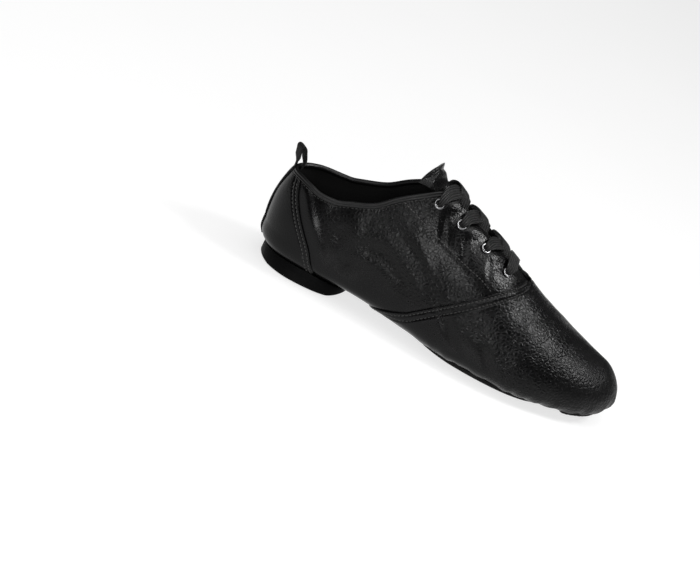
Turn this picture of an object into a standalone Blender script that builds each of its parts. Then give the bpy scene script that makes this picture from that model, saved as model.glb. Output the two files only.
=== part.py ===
"""Jazz shoe for the right foot: soft black leather upper, split sole, low heel.

Metres, Z up. X runs from the heel to the toe, Y towards the big toe side.
"""
import math

import bmesh
import bpy
import numpy as np

for old in list(bpy.data.objects):
    bpy.data.objects.remove(old, do_unlink=True)

# Main sizes of the shoe
foot_length = 0.250
ball_width = 0.085
instep_height = 0.0635
ankle_width = 0.058
collar_back_height = 0.061
heel_thickness = 0.0075
patch_thickness = 0.0020
toe_patch_thickness = 0.0014
toe_spring = 0.0055
arch_rise = 0.0050

# Leather and fitting sizes
quarter_wall = 0.0016
vamp_overlap = 0.0007
counter_overlap = 0.0006
binding_width = 0.0025
binding_rise = 0.0006
fit_gap = 0.0003
throat_width = 0.018
eyelet_outer = 0.0070
eyelet_hole = 0.0045
eyelet_reach = 0.0175
lace_width = 0.0080
lace_thickness = 0.0010
ribbon_width = 0.0080
ribbon_thickness = 0.0010
loop_height = 0.0140
insole_thickness = 0.0015
tongue_thickness = 0.0016
tongue_half = 0.0175
tongue_top_half = 0.0128
tongue_flare = 0.0095
tongue_arch = 0.0045
vamp_sweep = 0.075

# Places along the foot, as shares of its length
heel_turn = 0.140 * foot_length
counter_seam_low = 0.188 * foot_length
counter_seam_high = 0.028 * foot_length
vamp_seam_low = 0.330 * foot_length
vamp_seam_high = 0.655 * foot_length
throat_end = 0.668 * foot_length
throat_top = 0.400 * foot_length
heel_front = 0.272 * foot_length
patch_back = 0.460 * foot_length
patch_front = 0.856 * foot_length
toe_patch_back = 0.882 * foot_length
tongue_top = 0.320 * foot_length
eyelet_places = [share * foot_length for share in (0.378, 0.450, 0.530, 0.605)]

heel_seat = heel_thickness + fit_gap + counter_overlap
ball_seat = patch_thickness + fit_gap + vamp_overlap

# Sections of the last. Widths are shares of the ball width, ridge and widest
# heights are shares of the instep height, seat and spring run from 0 to 1.
SECTION_COLUMNS = ("place", "lateral", "medial", "crest", "seat", "spring", "arch",
                   "ridge", "widest", "corner")
SECTIONS = (
    (0.000, 0.341, 0.341, 0.000, 1.00, 0.00, 0.00, 1.300, 0.370, 3.6),
    (0.140, 0.341, 0.341, 0.000, 1.00, 0.00, 0.00, 1.330, 0.370, 3.6),
    (0.240, 0.346, 0.336, 0.001, 1.00, 0.00, 0.20, 1.510, 0.365, 3.4),
    (0.320, 0.358, 0.326, 0.004, 0.86, 0.00, 0.70, 1.620, 0.350, 3.1),
    (0.380, 0.378, 0.330, 0.008, 0.64, 0.00, 1.00, 1.565, 0.335, 3.0),
    (0.448, 0.412, 0.346, 0.015, 0.32, 0.00, 0.80, 1.430, 0.320, 3.0),
    (0.520, 0.456, 0.386, 0.024, 0.07, 0.00, 0.35, 1.297, 0.300, 3.1),
    (0.592, 0.487, 0.436, 0.033, 0.00, 0.00, 0.08, 1.157, 0.285, 3.2),
    (0.668, 0.499, 0.483, 0.042, 0.00, 0.00, 0.00, 1.000, 0.270, 3.2),
    (0.720, 0.493, 0.506, 0.048, 0.00, 0.00, 0.00, 0.893, 0.262, 3.2),
    (0.780, 0.464, 0.509, 0.056, 0.00, 0.00, 0.00, 0.790, 0.255, 3.2),
    (0.848, 0.393, 0.482, 0.070, 0.00, 0.10, 0.00, 0.690, 0.252, 3.1),
    (0.904, 0.315, 0.442, 0.082, 0.00, 0.33, 0.00, 0.615, 0.258, 3.0),
    (0.952, 0.245, 0.400, 0.090, 0.00, 0.63, 0.00, 0.553, 0.272, 2.8),
    (1.000, 0.190, 0.365, 0.096, 0.00, 1.00, 0.00, 0.500, 0.292, 2.6),
)

# Collar line: place along the foot, lateral and medial height as shares of the back height
COLLAR_COLUMNS = ("place", "lateral", "medial")
COLLAR = (
    (0.000, 1.000, 1.000),
    (0.030, 1.010, 1.015),
    (0.065, 1.000, 1.025),
    (0.105, 0.980, 1.025),
    (0.145, 0.990, 1.035),
    (0.185, 1.050, 1.085),
    (0.236, 1.145, 1.170),
    (0.284, 1.315, 1.325),
    (0.332, 1.450, 1.450),
    (0.368, 1.530, 1.530),
    (0.400, 1.565, 1.565),
)


def curve_through(places, values):
    """Smooth curve through a column of a table that never overshoots its rows."""
    places = np.asarray(places, float)
    values = np.asarray(values, float)
    step = np.diff(places)
    rise = np.diff(values) / step
    slope = np.zeros(len(places))
    for row in range(1, len(places) - 1):
        if rise[row - 1] * rise[row] > 0:
            slope[row] = 2 * rise[row - 1] * rise[row] / (rise[row - 1] + rise[row])
    slope[0] = rise[0]
    slope[-1] = rise[-1]

    def value(at):
        at = np.clip(np.asarray(at, float), places[0], places[-1])
        row = np.clip(np.searchsorted(places, at) - 1, 0, len(step) - 1)
        t = (at - places[row]) / step[row]
        start = values[row] * (1 + 2 * t) * (1 - t) ** 2
        end = values[row + 1] * t * t * (3 - 2 * t)
        bend = step[row] * (slope[row] * t * (1 - t) ** 2 + slope[row + 1] * t * t * (t - 1))
        return start + end + bend

    return value


section_rows = list(zip(*SECTIONS))
section_curve = {name: curve_through(section_rows[0], section_rows[number])
                 for number, name in enumerate(SECTION_COLUMNS)}
collar_rows = list(zip(*COLLAR))
collar_curve = {name: curve_through(collar_rows[0], collar_rows[number])
                for number, name in enumerate(COLLAR_COLUMNS)}


def section(x, side):
    """Crest line, half width, underside, arch, ridge, widest height and corner at x."""
    share = np.asarray(x, float) / foot_length
    round_plan = np.clip((share - 0.88) / 0.12, 0, 1) ** 2.4
    round_plan = np.maximum(1 - round_plan, 0) ** (1 / 2.4)
    round_side = np.clip((share - 0.936) / 0.064, 0, 1) ** 2.0
    round_side = np.maximum(1 - round_side, 0) ** 0.5
    crest = section_curve["crest"](share) * ball_width
    lateral = section_curve["lateral"](share) * ball_width + crest
    medial = section_curve["medial"](share) * ball_width - crest
    ankle = ankle_width / (0.682 * ball_width)
    near_heel = np.clip((0.448 - share) / 0.30, 0, 1)
    half = np.where(side > 0, medial, lateral) * round_plan * (1 + (ankle - 1) * near_heel)
    widest = section_curve["widest"](share) * instep_height
    under = (ball_seat + (heel_seat - ball_seat) * section_curve["seat"](share)
             + toe_spring * section_curve["spring"](share))
    under = widest - (widest - under) * round_side
    ridge = section_curve["ridge"](share) * instep_height
    ridge = widest + (ridge - widest) * round_side
    arch = np.where(side > 0, section_curve["arch"](share) * arch_rise, 0)
    return crest, half, under, arch, ridge, widest, section_curve["corner"](share)


back_bulge_height = 0.60 * collar_back_height


def back_line(z):
    """How far forward of its fullest place the back seam stands at height z."""
    return 0.26 / heel_turn * (z - back_bulge_height) ** 2


turn_length = 1.28 * heel_turn


def last_point(q, theta, side):
    """Outside of the last. q runs forward round the shoe from the back seam,
    theta runs up from -90 degrees under the foot to 90 degrees on the ridge."""
    q = np.asarray(q, float)
    theta = np.asarray(theta, float)
    plane = np.maximum(q - turn_length, 0) + heel_turn
    turn = np.clip(q / turn_length, 0, 1) * math.pi / 2
    crest, half, under, arch, ridge, widest, corner = section(plane, side)
    flat = np.maximum(np.cos(theta), 0)
    rise = np.abs(np.sin(theta))
    low = theta < 0
    power = np.where(low, 2 / corner, 1.0)
    across = flat ** power
    up = rise ** power
    z_low = widest - (widest - under) * up + arch * across ** 2 * up
    z = np.where(low, z_low, widest + (ridge - widest) * up)
    reach = np.where(low, (heel_turn - back_line(widest)) * across, heel_turn - back_line(z))
    x = np.where(q < turn_length, heel_turn - reach * np.cos(turn), plane)
    y = crest + side * half * across * np.sin(turn)
    return np.stack(np.broadcast_arrays(x, y, z), axis=-1)


def place_of(q):
    """Place along the foot of station q."""
    turn = np.clip(q / turn_length, 0, 1) * math.pi / 2
    return np.where(q < turn_length, heel_turn * (1 - np.cos(turn)), q - turn_length + heel_turn)


def station_of(x):
    """Station of a place along the foot, forward of the heel turn."""
    return x - heel_turn + turn_length


def throat_half_gap(x):
    """Half width of the open throat between the two facings."""
    bend = 0.72 * throat_width
    along = np.clip((x - (throat_end - bend)) / bend, 0, 1)
    return 0.5 * throat_width * np.sqrt(np.maximum(1 - along ** 2, 0))


def top_angle(q, side):
    """Angle at which the upper ends at the collar or at the facing edge."""
    x = place_of(q)
    crest, half, under, arch, ridge, widest, corner = section(np.maximum(x, heel_turn), side)
    name = "medial" if side > 0 else "lateral"
    height = collar_curve[name](x / foot_length) * collar_back_height
    collar = np.arcsin(np.clip((height - widest) / (ridge - widest), 0, 1))
    throat = np.arccos(np.clip(throat_half_gap(x) / np.maximum(half, 1e-6), 0, 1))
    return np.where(x < throat_top - 1e-6, np.minimum(collar, 1.5), throat)


def underside(x, y):
    """Height of the underside of the upper above the floor."""
    x = np.asarray(x, float)
    y = np.asarray(y, float)
    plane = np.maximum(x, heel_turn)
    side = np.where(y > section_curve["crest"](plane / foot_length) * ball_width, 1, -1)
    crest, half, under, arch, ridge, widest, corner = section(plane, side)
    out = np.abs(y - crest) / np.maximum(half, 1e-6)
    back = np.maximum(heel_turn - x, 0) / (heel_turn - back_line(widest))
    out = np.minimum(np.sqrt(out ** 2 + back ** 2), 0.999)
    up = (1 - out ** corner) ** (1 / corner)
    return widest - (widest - under) * up + arch * out ** 2 * up


def off_underside(x, y, away):
    """Height of a surface that keeps a distance from the underside, square to it."""
    step = 0.0005
    slope_x = (underside(x + step, y) - underside(x - step, y)) / (2 * step)
    slope_y = (underside(x, y + step) - underside(x, y - step)) / (2 * step)
    return underside(x, y) + away * np.sqrt(1 + slope_x ** 2 + slope_y ** 2)


def dome(x, y):
    """Height of the instep over the plan place x, y."""
    x = np.asarray(x, float)
    side = np.where(y > section_curve["crest"](x / foot_length) * ball_width, 1, -1)
    crest, half, under, arch, ridge, widest, corner = section(x, side)
    out = np.minimum(np.abs(y - crest) / np.maximum(half, 1e-6), 0.999)
    return widest + (ridge - widest) * np.sqrt(1 - out ** 2)


def dome_frame(x, y):
    """Point on the instep over x, y and the direction out of it."""
    step = 0.0005
    z = dome(x, y)
    slope_x = (dome(x + step, y) - dome(x - step, y)) / (2 * step)
    slope_y = (dome(x, y + step) - dome(x, y - step)) / (2 * step)
    out = np.stack([-slope_x, -slope_y, np.ones_like(slope_x)], axis=-1)
    out /= np.linalg.norm(out, axis=-1, keepdims=True)
    point = np.stack(np.broadcast_arrays(x, y, z), axis=-1)
    return point, out


def crest_at(x):
    return section_curve["crest"](np.asarray(x) / foot_length) * ball_width


# Collections and materials
shoe = bpy.data.collections.new("jazz_shoe")
cutters = bpy.data.collections.new("cutters")
bpy.context.scene.collection.children.link(shoe)
bpy.context.scene.collection.children.link(cutters)


def material(name, colour, rough, metal=0.0):
    made = bpy.data.materials.new(name)
    made.use_nodes = True
    shader = made.node_tree.nodes["Principled BSDF"]
    shader.inputs["Base Color"].default_value = (*colour, 1)
    shader.inputs["Roughness"].default_value = rough
    shader.inputs["Metallic"].default_value = metal
    return made


leather = material("black_leather", (0.012, 0.012, 0.013), 0.42)
tongue_leather = material("tongue_leather", (0.014, 0.014, 0.015), 0.5)
lining = material("insole_fabric", (0.03, 0.03, 0.03), 0.9)
rubber = material("heel_rubber", (0.016, 0.016, 0.017), 0.6)
suede = material("sole_suede", (0.020, 0.019, 0.018), 0.95)
woven = material("ribbon_fabric", (0.010, 0.010, 0.010), 0.85)
lace_cloth = material("lace_fabric", (0.013, 0.013, 0.013), 0.8)
metal_rim = material("eyelet_metal", (0.30, 0.30, 0.31), 0.3, 1.0)


def add_solid(name, points, faces, skin, home=shoe):
    mesh = bpy.data.meshes.new(name)
    mesh.from_pydata([tuple(map(float, point)) for point in points], [], faces)
    work = bmesh.new()
    work.from_mesh(mesh)
    bmesh.ops.recalc_face_normals(work, faces=work.faces)
    if work.calc_volume(signed=True) < 0:
        bmesh.ops.reverse_faces(work, faces=work.faces)
    work.to_mesh(mesh)
    work.free()
    made = bpy.data.objects.new(name, mesh)
    home.objects.link(made)
    if skin is not None:
        mesh.materials.append(skin)
    mesh.shade_smooth()
    mesh.set_sharp_from_angle(angle=math.radians(40))
    return made


# Upper: slanted ribs follow the counter seam and the vamp seam
def opening_start(x):
    """Share of the half width left open under the foot, beneath heel and patch."""
    heel_open = np.clip((x - heel_turn) / (0.62 * (heel_front - heel_turn)), 0, 1)
    heel_share = 0.62 * np.sqrt(1 - heel_open ** 2)
    middle = 0.5 * (patch_back + patch_front)
    reach = 0.38 * (patch_front - patch_back)
    ball_open = np.clip(np.abs(x - middle) / reach, 0, 1)
    ball_share = 0.58 * np.sqrt(1 - ball_open ** 2)
    return float(np.maximum(heel_share, ball_share))


def rib_points(q_low, q_high, side, rows):
    """Points up one rib, closer together where it bends."""
    open_share = opening_start(place_of(q_low))
    corner = float(section(np.maximum(place_of(q_low), heel_turn), side)[-1])
    start = -math.acos(open_share ** (corner / 2)) if open_share > 0 else -math.pi / 2
    end = float(top_angle(q_high, side))
    theta = np.linspace(start, end, 240)
    low_part = 0.25 * (1 - np.abs(np.sin(theta)) ** (2 / corner))
    high_part = 0.25 + 0.75 * np.sin(theta) / math.sin(end)
    height = np.where(theta < 0, low_part, high_part)
    from_heel = (q_low - station_of(counter_seam_low)) / (vamp_seam_low - counter_seam_low)
    sweep = vamp_sweep * min(max(from_heel, 0.0), 1.0) * np.sin(math.pi * height)
    path = last_point(q_low + (q_high - q_low) * (height + sweep), theta, side)
    step = np.diff(path, axis=0)
    size = np.linalg.norm(step, axis=1)
    run = step / np.maximum(size, 1e-9)[:, None]
    turn = np.zeros(len(size))
    turn[1:] = np.arccos(np.clip((run[1:] * run[:-1]).sum(axis=1), -1, 1))
    length = np.concatenate([[0], np.cumsum(size)])
    measure = np.concatenate([[0], np.cumsum(size + 0.016 * turn)])
    last_even = length[-1] - 1.25 * binding_width
    even = np.interp(np.linspace(0, np.interp(last_even, length, measure), rows - 1), measure, length)
    marks = np.concatenate([even, [length[-1] - binding_width, length[-1]]])
    points = np.stack([np.interp(marks, length, path[:, axis]) for axis in range(3)], axis=-1)
    points[0] = path[0]
    points[-1] = path[-1]
    return points


def build_upper():
    rows = 14
    join = 0.0006
    q_counter_low = station_of(counter_seam_low)
    q_counter_high = turn_length * math.acos(1 - counter_seam_high / heel_turn) / (math.pi / 2)
    q_vamp_low = station_of(vamp_seam_low)
    q_vamp_high = station_of(vamp_seam_high)
    q_throat_end = station_of(throat_end)
    q_corner = station_of(throat_top)
    q_toe = station_of(foot_length)
    ribs = []
    for share in np.linspace(0, 1, 8):
        ribs.append((q_counter_low * share, q_counter_high * share, counter_overlap))
    low_first = q_counter_low + join
    high_first = q_counter_high + join
    tops = list(np.linspace(high_first, q_corner, 15))
    tops += list(np.linspace(q_corner, q_vamp_high, 12)[1:])
    for top in tops:
        share = (top - high_first) / (q_vamp_high - high_first)
        ribs.append((low_first + (q_vamp_low - low_first) * share, top, 0.0))
    low_first = q_vamp_low + join
    high_first = q_vamp_high + join
    tops = [high_first, q_throat_end - 0.0012]
    tops += list(q_toe - (q_toe - q_throat_end) * (1 - np.linspace(0, 1, 20)) ** 1.45)
    for top in tops:
        share = (top - high_first) / (q_toe - high_first)
        ribs.append((low_first + (q_toe - low_first) * share, top, vamp_overlap))

    points = []
    raises = []
    known = {}
    grid = {}
    for side in (-1, 1):
        for number, (q_low, q_high, raised) in enumerate(ribs):
            for row, point in enumerate(rib_points(q_low, q_high, side, rows)):
                key = tuple(np.round(point * 1e7).astype(int))
                if key not in known:
                    known[key] = len(points)
                    points.append(point)
                    bound = q_high <= q_corner + 1e-6 and row >= rows - 1
                    raises.append(max(raised, binding_rise) if bound else raised)
                grid[side, number, row] = known[key]
    faces = []
    for side in (-1, 1):
        for number in range(len(ribs) - 1):
            for row in range(rows):
                ring = [grid[side, number, row], grid[side, number + 1, row],
                        grid[side, number + 1, row + 1], grid[side, number, row + 1]]
                ring = [spot for place, spot in enumerate(ring) if spot != ring[place - 1]]
                if len(set(ring)) >= 3:
                    faces.append(ring if side < 0 else ring[::-1])
    points = np.array(points)
    normal = np.zeros_like(points)
    for ring in faces:
        a, b, c = points[ring[0]], points[ring[1]], points[ring[2]]
        area = np.cross(b - a, c - a)
        if len(ring) == 4:
            area = area + np.cross(c - a, points[ring[3]] - a)
        normal[ring] += area
    normal /= np.maximum(np.linalg.norm(normal, axis=1, keepdims=True), 1e-12)
    middle = np.array([0.5 * foot_length, 0, 0.4 * instep_height])
    if ((points - middle) * normal).sum() < 0:
        normal = -normal
    outer = points + normal * np.array(raises)[:, None]
    inner = points - normal * quarter_wall
    count = len(points)
    used = {}
    for ring in faces:
        for place, spot in enumerate(ring):
            edge = (ring[place - 1], spot)
            used[edge] = used.get(edge, 0) + 1
    every = [list(ring) for ring in faces]
    every += [[spot + count for spot in ring[::-1]] for ring in faces]
    for (a, b) in used:
        if (b, a) not in used:
            every.append([b, a, a + count, b + count])
    return add_solid("upper", np.vstack([outer, inner]), every, leather)


upper = build_upper()


# Flat-lying pieces: rings of a plan outline between a top and a bottom height
def plan_solid(name, outline, centre, top, bottom, skin, rings=(0.35, 0.65, 0.88)):
    outline = np.asarray(outline)
    centre = np.asarray(centre)
    count = len(outline)
    levels = [centre + (outline - centre) * share for share in rings]
    points = []
    faces = []

    def ring(flat, height):
        first = len(points)
        for spot, z in zip(flat, np.atleast_1d(height)):
            points.append((spot[0], spot[1], z))
        return first

    def bridge(first, second):
        for number in range(count):
            follow = (number + 1) % count
            faces.append([first + number, first + follow, second + follow, second + number])

    upper_rings = [ring(level, top(level[:, 0], level[:, 1])) for level in levels + [outline]]
    points.append((*centre, float(top(*centre))))
    hub = len(points) - 1
    for number in range(count):
        faces.append([hub, upper_rings[0] + number, upper_rings[0] + (number + 1) % count])
    for first, second in zip(upper_rings, upper_rings[1:]):
        bridge(first, second)
    lower_rings = [ring(level, bottom(level[:, 0], level[:, 1])) for level in levels + [outline]]
    points.append((*centre, float(bottom(*centre))))
    hub = len(points) - 1
    for number in range(count):
        faces.append([hub, lower_rings[0] + (number + 1) % count, lower_rings[0] + number])
    for first, second in zip(lower_rings, lower_rings[1:]):
        bridge(first, second)
    bridge(upper_rings[-1], lower_rings[-1])
    return add_solid(name, points, faces, skin)


def oval(back, front, share, blunt_back, blunt_front, count=44):
    """Plan outline between two places, following the last at a share of its width."""
    middle = 0.5 * (back + front)
    reach = 0.5 * (front - back)
    spots = []
    for number in range(count):
        angle = 2 * math.pi * number / count
        blunt = blunt_front if math.cos(angle) > 0 else blunt_back
        along = math.copysign(abs(math.cos(angle)) ** (2 / blunt), math.cos(angle))
        across = math.copysign(abs(math.sin(angle)) ** (2 / blunt), math.sin(angle))
        x = middle + reach * along
        side = 1 if across > 0 else -1
        crest, half = section(max(x, heel_turn), side)[:2]
        spots.append((x, float(crest) + float(half) * share * across))
    return spots


# Heel block: low rubber, rounded at the back, ramped at its front end
block_share = 0.90
block_back_share = 0.84
block_half_back = block_back_share * (heel_turn - float(back_line(section(heel_turn, 1)[5])))
block_spots = []
for number in range(40):
    angle = 2 * math.pi * number / 40
    if math.cos(angle) <= 0:
        x = heel_turn + block_half_back * math.cos(angle)
        side = 1 if math.sin(angle) > 0 else -1
        crest, half = section(heel_turn, side)[:2]
        y = float(crest) + block_share * float(half) * math.sin(angle)
    else:
        along = abs(math.cos(angle)) ** (2 / 2.5)
        across = math.copysign(abs(math.sin(angle)) ** (2 / 2.5), math.sin(angle))
        x = heel_turn + (heel_front - heel_turn) * along
        side = 1 if across > 0 else -1
        crest, half = section(x, side)[:2]
        y = float(crest) + block_share * float(half) * across
    block_spots.append((x, y))
block_centre = (heel_turn, 0.0)
block_outline = np.array(block_spots)
block_angles = np.arctan2(block_outline[:, 1], block_outline[:, 0] - heel_turn)
block_radii = np.linalg.norm(block_outline - np.array(block_centre), axis=1)


def block_edge_share(x, y):
    """How far out towards the edge of the heel block a spot lies."""
    order = np.argsort(block_angles)
    angle = np.arctan2(y, np.asarray(x) - heel_turn)
    edge = np.interp(angle, block_angles[order], block_radii[order], period=2 * math.pi)
    return np.hypot(np.asarray(x) - heel_turn, y) / edge


def block_bottom(x, y):
    out = block_edge_share(x, y)
    x = np.asarray(x, float)
    to_back = np.clip((0.45 * heel_turn - x) / (0.45 * heel_turn), 0, 1)
    corner = (0.0008 + 0.0030 * to_back) * np.clip((out - 0.88) / 0.12, 0, 1) ** 2
    ramp_start = heel_front - 1.5 * heel_thickness
    ramp = 0.62 * heel_thickness * np.clip((x - ramp_start) / (heel_front - ramp_start), 0, 1) ** 1.6
    return corner + ramp


heel = plan_solid("heel", block_spots, block_centre,
                  lambda x, y: off_underside(x, y, -counter_overlap - 1.5 * fit_gap),
                  block_bottom, rubber,
                  rings=(0.35, 0.65, 0.80, 0.88, 0.95))


# Forefoot patch: flat under the ball, its edge lifting with the leather
def patch_top(x, y):
    return off_underside(x, y, -vamp_overlap - fit_gap)


def patch_bottom(x, y):
    return np.maximum(0.0, patch_top(x, y) - 1.25 * patch_thickness)


forefoot_patch = plan_solid("forefoot_patch", oval(patch_back, patch_front, 0.80, 2.1, 2.5),
                            (0.5 * (patch_back + patch_front), 0.002),
                            patch_top, patch_bottom, suede,
                            rings=(0.3, 0.55, 0.75, 0.9))

# Toe patch: a crescent that lifts round the tip
toe_front = foot_length - 0.0045
toe_patch = plan_solid("toe_patch", oval(toe_patch_back, toe_front, 0.86, 5.0, 2.1, 36),
                       (0.5 * (toe_patch_back + toe_front), 0.098 * ball_width),
                       lambda x, y: patch_top(x, y) - 0.5 * fit_gap,
                       lambda x, y: patch_top(x, y) - 0.5 * fit_gap - toe_patch_thickness, suede)


def sheet_solid(name, outer, inner, rows, columns, skin):
    """Closed sheet between two grids of points with the same rows and columns."""
    count = rows * columns
    faces = []
    for row in range(rows - 1):
        for column in range(columns - 1):
            a = row * columns + column
            faces.append([a, a + 1, a + columns + 1, a + columns])
            faces.append([a + count, a + columns + count, a + columns + 1 + count, a + 1 + count])
    last = (rows - 1) * columns
    rim = [(column, column + 1) for column in range(columns - 1)]
    rim += [(row * columns + columns - 1, (row + 1) * columns + columns - 1) for row in range(rows - 1)]
    rim += [(last + column + 1, last + column) for column in reversed(range(columns - 1))]
    rim += [((row + 1) * columns, row * columns) for row in reversed(range(rows - 1))]
    for a, b in rim:
        faces.append([b, a, a + count, b + count])
    return add_solid(name, list(outer) + list(inner), faces, skin)


# Insole: a thin sheet on the inside of the upper
def build_insole():
    back = 0.22 * heel_turn
    front = 0.952 * foot_length
    middle = 0.5 * (back + front)
    reach = 0.5 * (front - back)
    top = []
    bottom = []
    shares = np.linspace(-1, 1, 9)
    places = middle - reach * np.cos(np.linspace(0.02, math.pi - 0.02, 30))
    for x in places:
        end = max(0.02, 1 - (abs(x - middle) / reach) ** 3.0) ** (1 / 3.0)
        if x < heel_turn:
            end = math.sqrt(max(0.004, 1 - ((heel_turn - x) / (heel_turn - back)) ** 2))
        for share in shares:
            side = 1 if share > 0 else -1
            crest, half = section(max(x, heel_turn), side)[:2]
            y = float(crest) + 0.76 * float(half) * end * share
            low = float(off_underside(x, y, quarter_wall + 2.3 * fit_gap))
            bottom.append((x, y, low))
            top.append((x, y, low + insole_thickness))
    return sheet_solid("insole", top, bottom, len(places), len(shares), lining)


insole = build_insole()


# Tongue: a curved sheet under the facings, its bound top arched and standing off the instep
def build_tongue():
    room = lace_thickness + 3 * fit_gap
    free_end = eyelet_places[0] + 0.0020
    free_length = free_end - tongue_top - tongue_arch
    stations = np.linspace(tongue_top, throat_end + 0.003, 25)
    shares = np.linspace(-1, 1, 17)
    outer = []
    inner = []
    for x in stations:
        widen = np.clip((x - eyelet_places[0] + 0.0068) / 0.0090, 0, 1)
        half = tongue_top_half + (tongue_half - tongue_top_half) * widen * widen * (3 - 2 * widen)
        loose = np.clip((throat_end - 0.006 - x) / 0.014, 0, 1)
        below = quarter_wall + 2.2 * fit_gap + (room - 2.2 * fit_gap) * loose * loose * (3 - 2 * loose)
        for share in shares:
            arch = tongue_arch * (1 - share ** 2) + 0.003 * share ** 8
            placed = x + arch * max(0.0, 1 - (x - tongue_top) / 0.020)
            y = float(crest_at(placed)) + half * share
            point, out = dome_frame(np.float64(placed), np.float64(y))
            free = np.clip((free_end - placed) / free_length, 0, 1)
            across = 1 - 0.52 * (half * share / tongue_top_half) ** 2
            rise = tongue_flare * free ** 2.8 * across
            bound = 0.0004 if x - tongue_top < 0.004 else 0.0
            outer.append(point - out * (below - rise - bound))
            inner.append(point - out * (below - rise + tongue_thickness))
    return sheet_solid("tongue", outer, inner, len(stations), len(shares), tongue_leather)


tongue = build_tongue()


def swept_strip(centres, wide, out, width, thickness):
    """Points and faces of a flat band along a path."""
    points = []
    faces = []
    for centre, across, up in zip(centres, wide, out):
        for a, b in ((-1, -1), (1, -1), (1, 1), (-1, 1)):
            points.append(centre + across * a * width / 2 + up * b * thickness / 2)
    for number in range(len(centres) - 1):
        first = number * 4
        for corner in range(4):
            follow = (corner + 1) % 4
            faces.append([first + corner, first + follow, first + 4 + follow, first + 4 + corner])
    faces.append([3, 2, 1, 0])
    end = (len(centres) - 1) * 4
    faces.append([end, end + 1, end + 2, end + 3])
    return points, faces


# Back ribbon: up the back seam, over as the pull loop and down inside the counter
def build_ribbon():
    stand = max(counter_overlap, binding_rise) + 1.5 * fit_gap + ribbon_thickness / 2
    hollow = ribbon_width ** 2 / (8 * 0.31 * heel_turn)
    inside = quarter_wall + fit_gap + hollow + ribbon_thickness / 2 + 0.0001
    low = heel_seat + 0.0056
    theta = np.linspace(-math.pi / 2, float(top_angle(0.0, -1)), 200)
    seam = last_point(np.zeros(200), theta, -1)[:, [0, 2]]
    run = np.gradient(seam, axis=0)
    run /= np.maximum(np.linalg.norm(run, axis=1, keepdims=True), 1e-9)
    outward = np.stack([-run[:, 1], run[:, 0]], axis=-1)
    path = []
    for z in np.linspace(low, collar_back_height, 14):
        place = np.interp(z, seam[:, 1], seam[:, 0])
        away = [np.interp(z, seam[:, 1], outward[:, axis]) for axis in range(2)]
        path.append((place + away[0] * stand, z + away[1] * stand))
    top = path[-1]
    lean = 0.0035
    gap = quarter_wall + 2 * stand + 0.0002
    for share in np.linspace(0.15, 1, 7):
        swell = 0.0012 * math.sin(math.pi * min(share * 1.1, 1))
        path.append((top[0] - lean * share - swell, top[1] + (loop_height - gap / 2) * share))
    centre = (path[-1][0] + gap / 2, path[-1][1])
    for angle in np.linspace(math.radians(150), math.radians(20), 6):
        path.append((centre[0] + gap / 2 * math.cos(angle), centre[1] + gap / 2 * math.sin(angle)))
    inner_x = float(back_line(collar_back_height)) + inside
    for share in np.linspace(0.1, 1, 7):
        swell = 0.0012 * math.sin(math.pi * share)
        x = (1 - share) * (centre[0] + gap / 2) + share * inner_x + swell
        path.append((x, centre[1] + (top[1] - centre[1]) * share))
    for z in np.linspace(top[1] - 0.003, top[1] - 0.013, 4):
        path.append((float(back_line(z)) + inside, z))
    path = np.array(path)
    step = np.gradient(path, axis=0)
    step /= np.linalg.norm(step, axis=1, keepdims=True)
    centres = [np.array([x, 0.0, z]) for x, z in path]
    wide = [np.array([0.0, 1.0, 0.0])] * len(path)
    out = [np.array([-dz, 0.0, dx]) for dx, dz in step]
    points, faces = swept_strip(centres, wide, out, ribbon_width, ribbon_thickness)
    return add_solid("back_ribbon", points, faces, woven)


back_ribbon = build_ribbon()


# Eyelets: rimmed metal rings, each through its own hole in the facing
def eyelet_frame(x, side):
    y = float(crest_at(x)) + side * eyelet_reach
    return dome_frame(np.float64(x), np.float64(y))


def side_axes(out):
    first = np.cross(out, np.array([0.0, 1.0, 0.0]))
    first /= np.linalg.norm(first)
    return first, np.cross(out, first)


barrel = 0.5 * eyelet_hole + 0.0004
eyelet_profile = (
    (0.5 * eyelet_hole, -quarter_wall - 0.0002),
    (barrel, -quarter_wall - 0.0002),
    (barrel, fit_gap),
    (0.5 * eyelet_outer, fit_gap),
    (0.5 * eyelet_outer - 0.0001, fit_gap + 0.0005),
    (0.5 * (eyelet_hole + eyelet_outer) / 2 + 0.0003, fit_gap + 0.0009),
    (0.5 * eyelet_hole, fit_gap + 0.0005),
)


def build_eyelet(name, x, side):
    point, out = eyelet_frame(x, side)
    first, second = side_axes(out)
    segments = 14
    points = []
    faces = []
    size = len(eyelet_profile)
    for number in range(segments):
        angle = 2 * math.pi * number / segments
        spoke = first * math.cos(angle) + second * math.sin(angle)
        for radius, height in eyelet_profile:
            points.append(point + spoke * radius + out * height)
    for number in range(segments):
        follow = (number + 1) % segments
        for corner in range(size):
            after = (corner + 1) % size
            faces.append([number * size + corner, number * size + after,
                          follow * size + after, follow * size + corner])
    return add_solid(name, points, faces, metal_rim)


def cut_hole(x, side):
    point, out = eyelet_frame(x, side)
    first, second = side_axes(out)
    segments = 14
    radius = barrel + fit_gap
    ring = []
    for height in (-0.006, 0.004):
        for number in range(segments):
            angle = 2 * math.pi * number / segments
            ring.append(point + out * height + first * radius * math.cos(angle)
                        + second * radius * math.sin(angle))
    faces = [list(range(segments))[::-1], list(range(segments, 2 * segments))]
    for number in range(segments):
        follow = (number + 1) % segments
        faces.append([number, follow, segments + follow, segments + number])
    cutter = add_solid("eyelet_hole_cutter", ring, faces, None, cutters)
    cutter.hide_render = True
    cutter.display_type = "WIRE"
    return cutter


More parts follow.
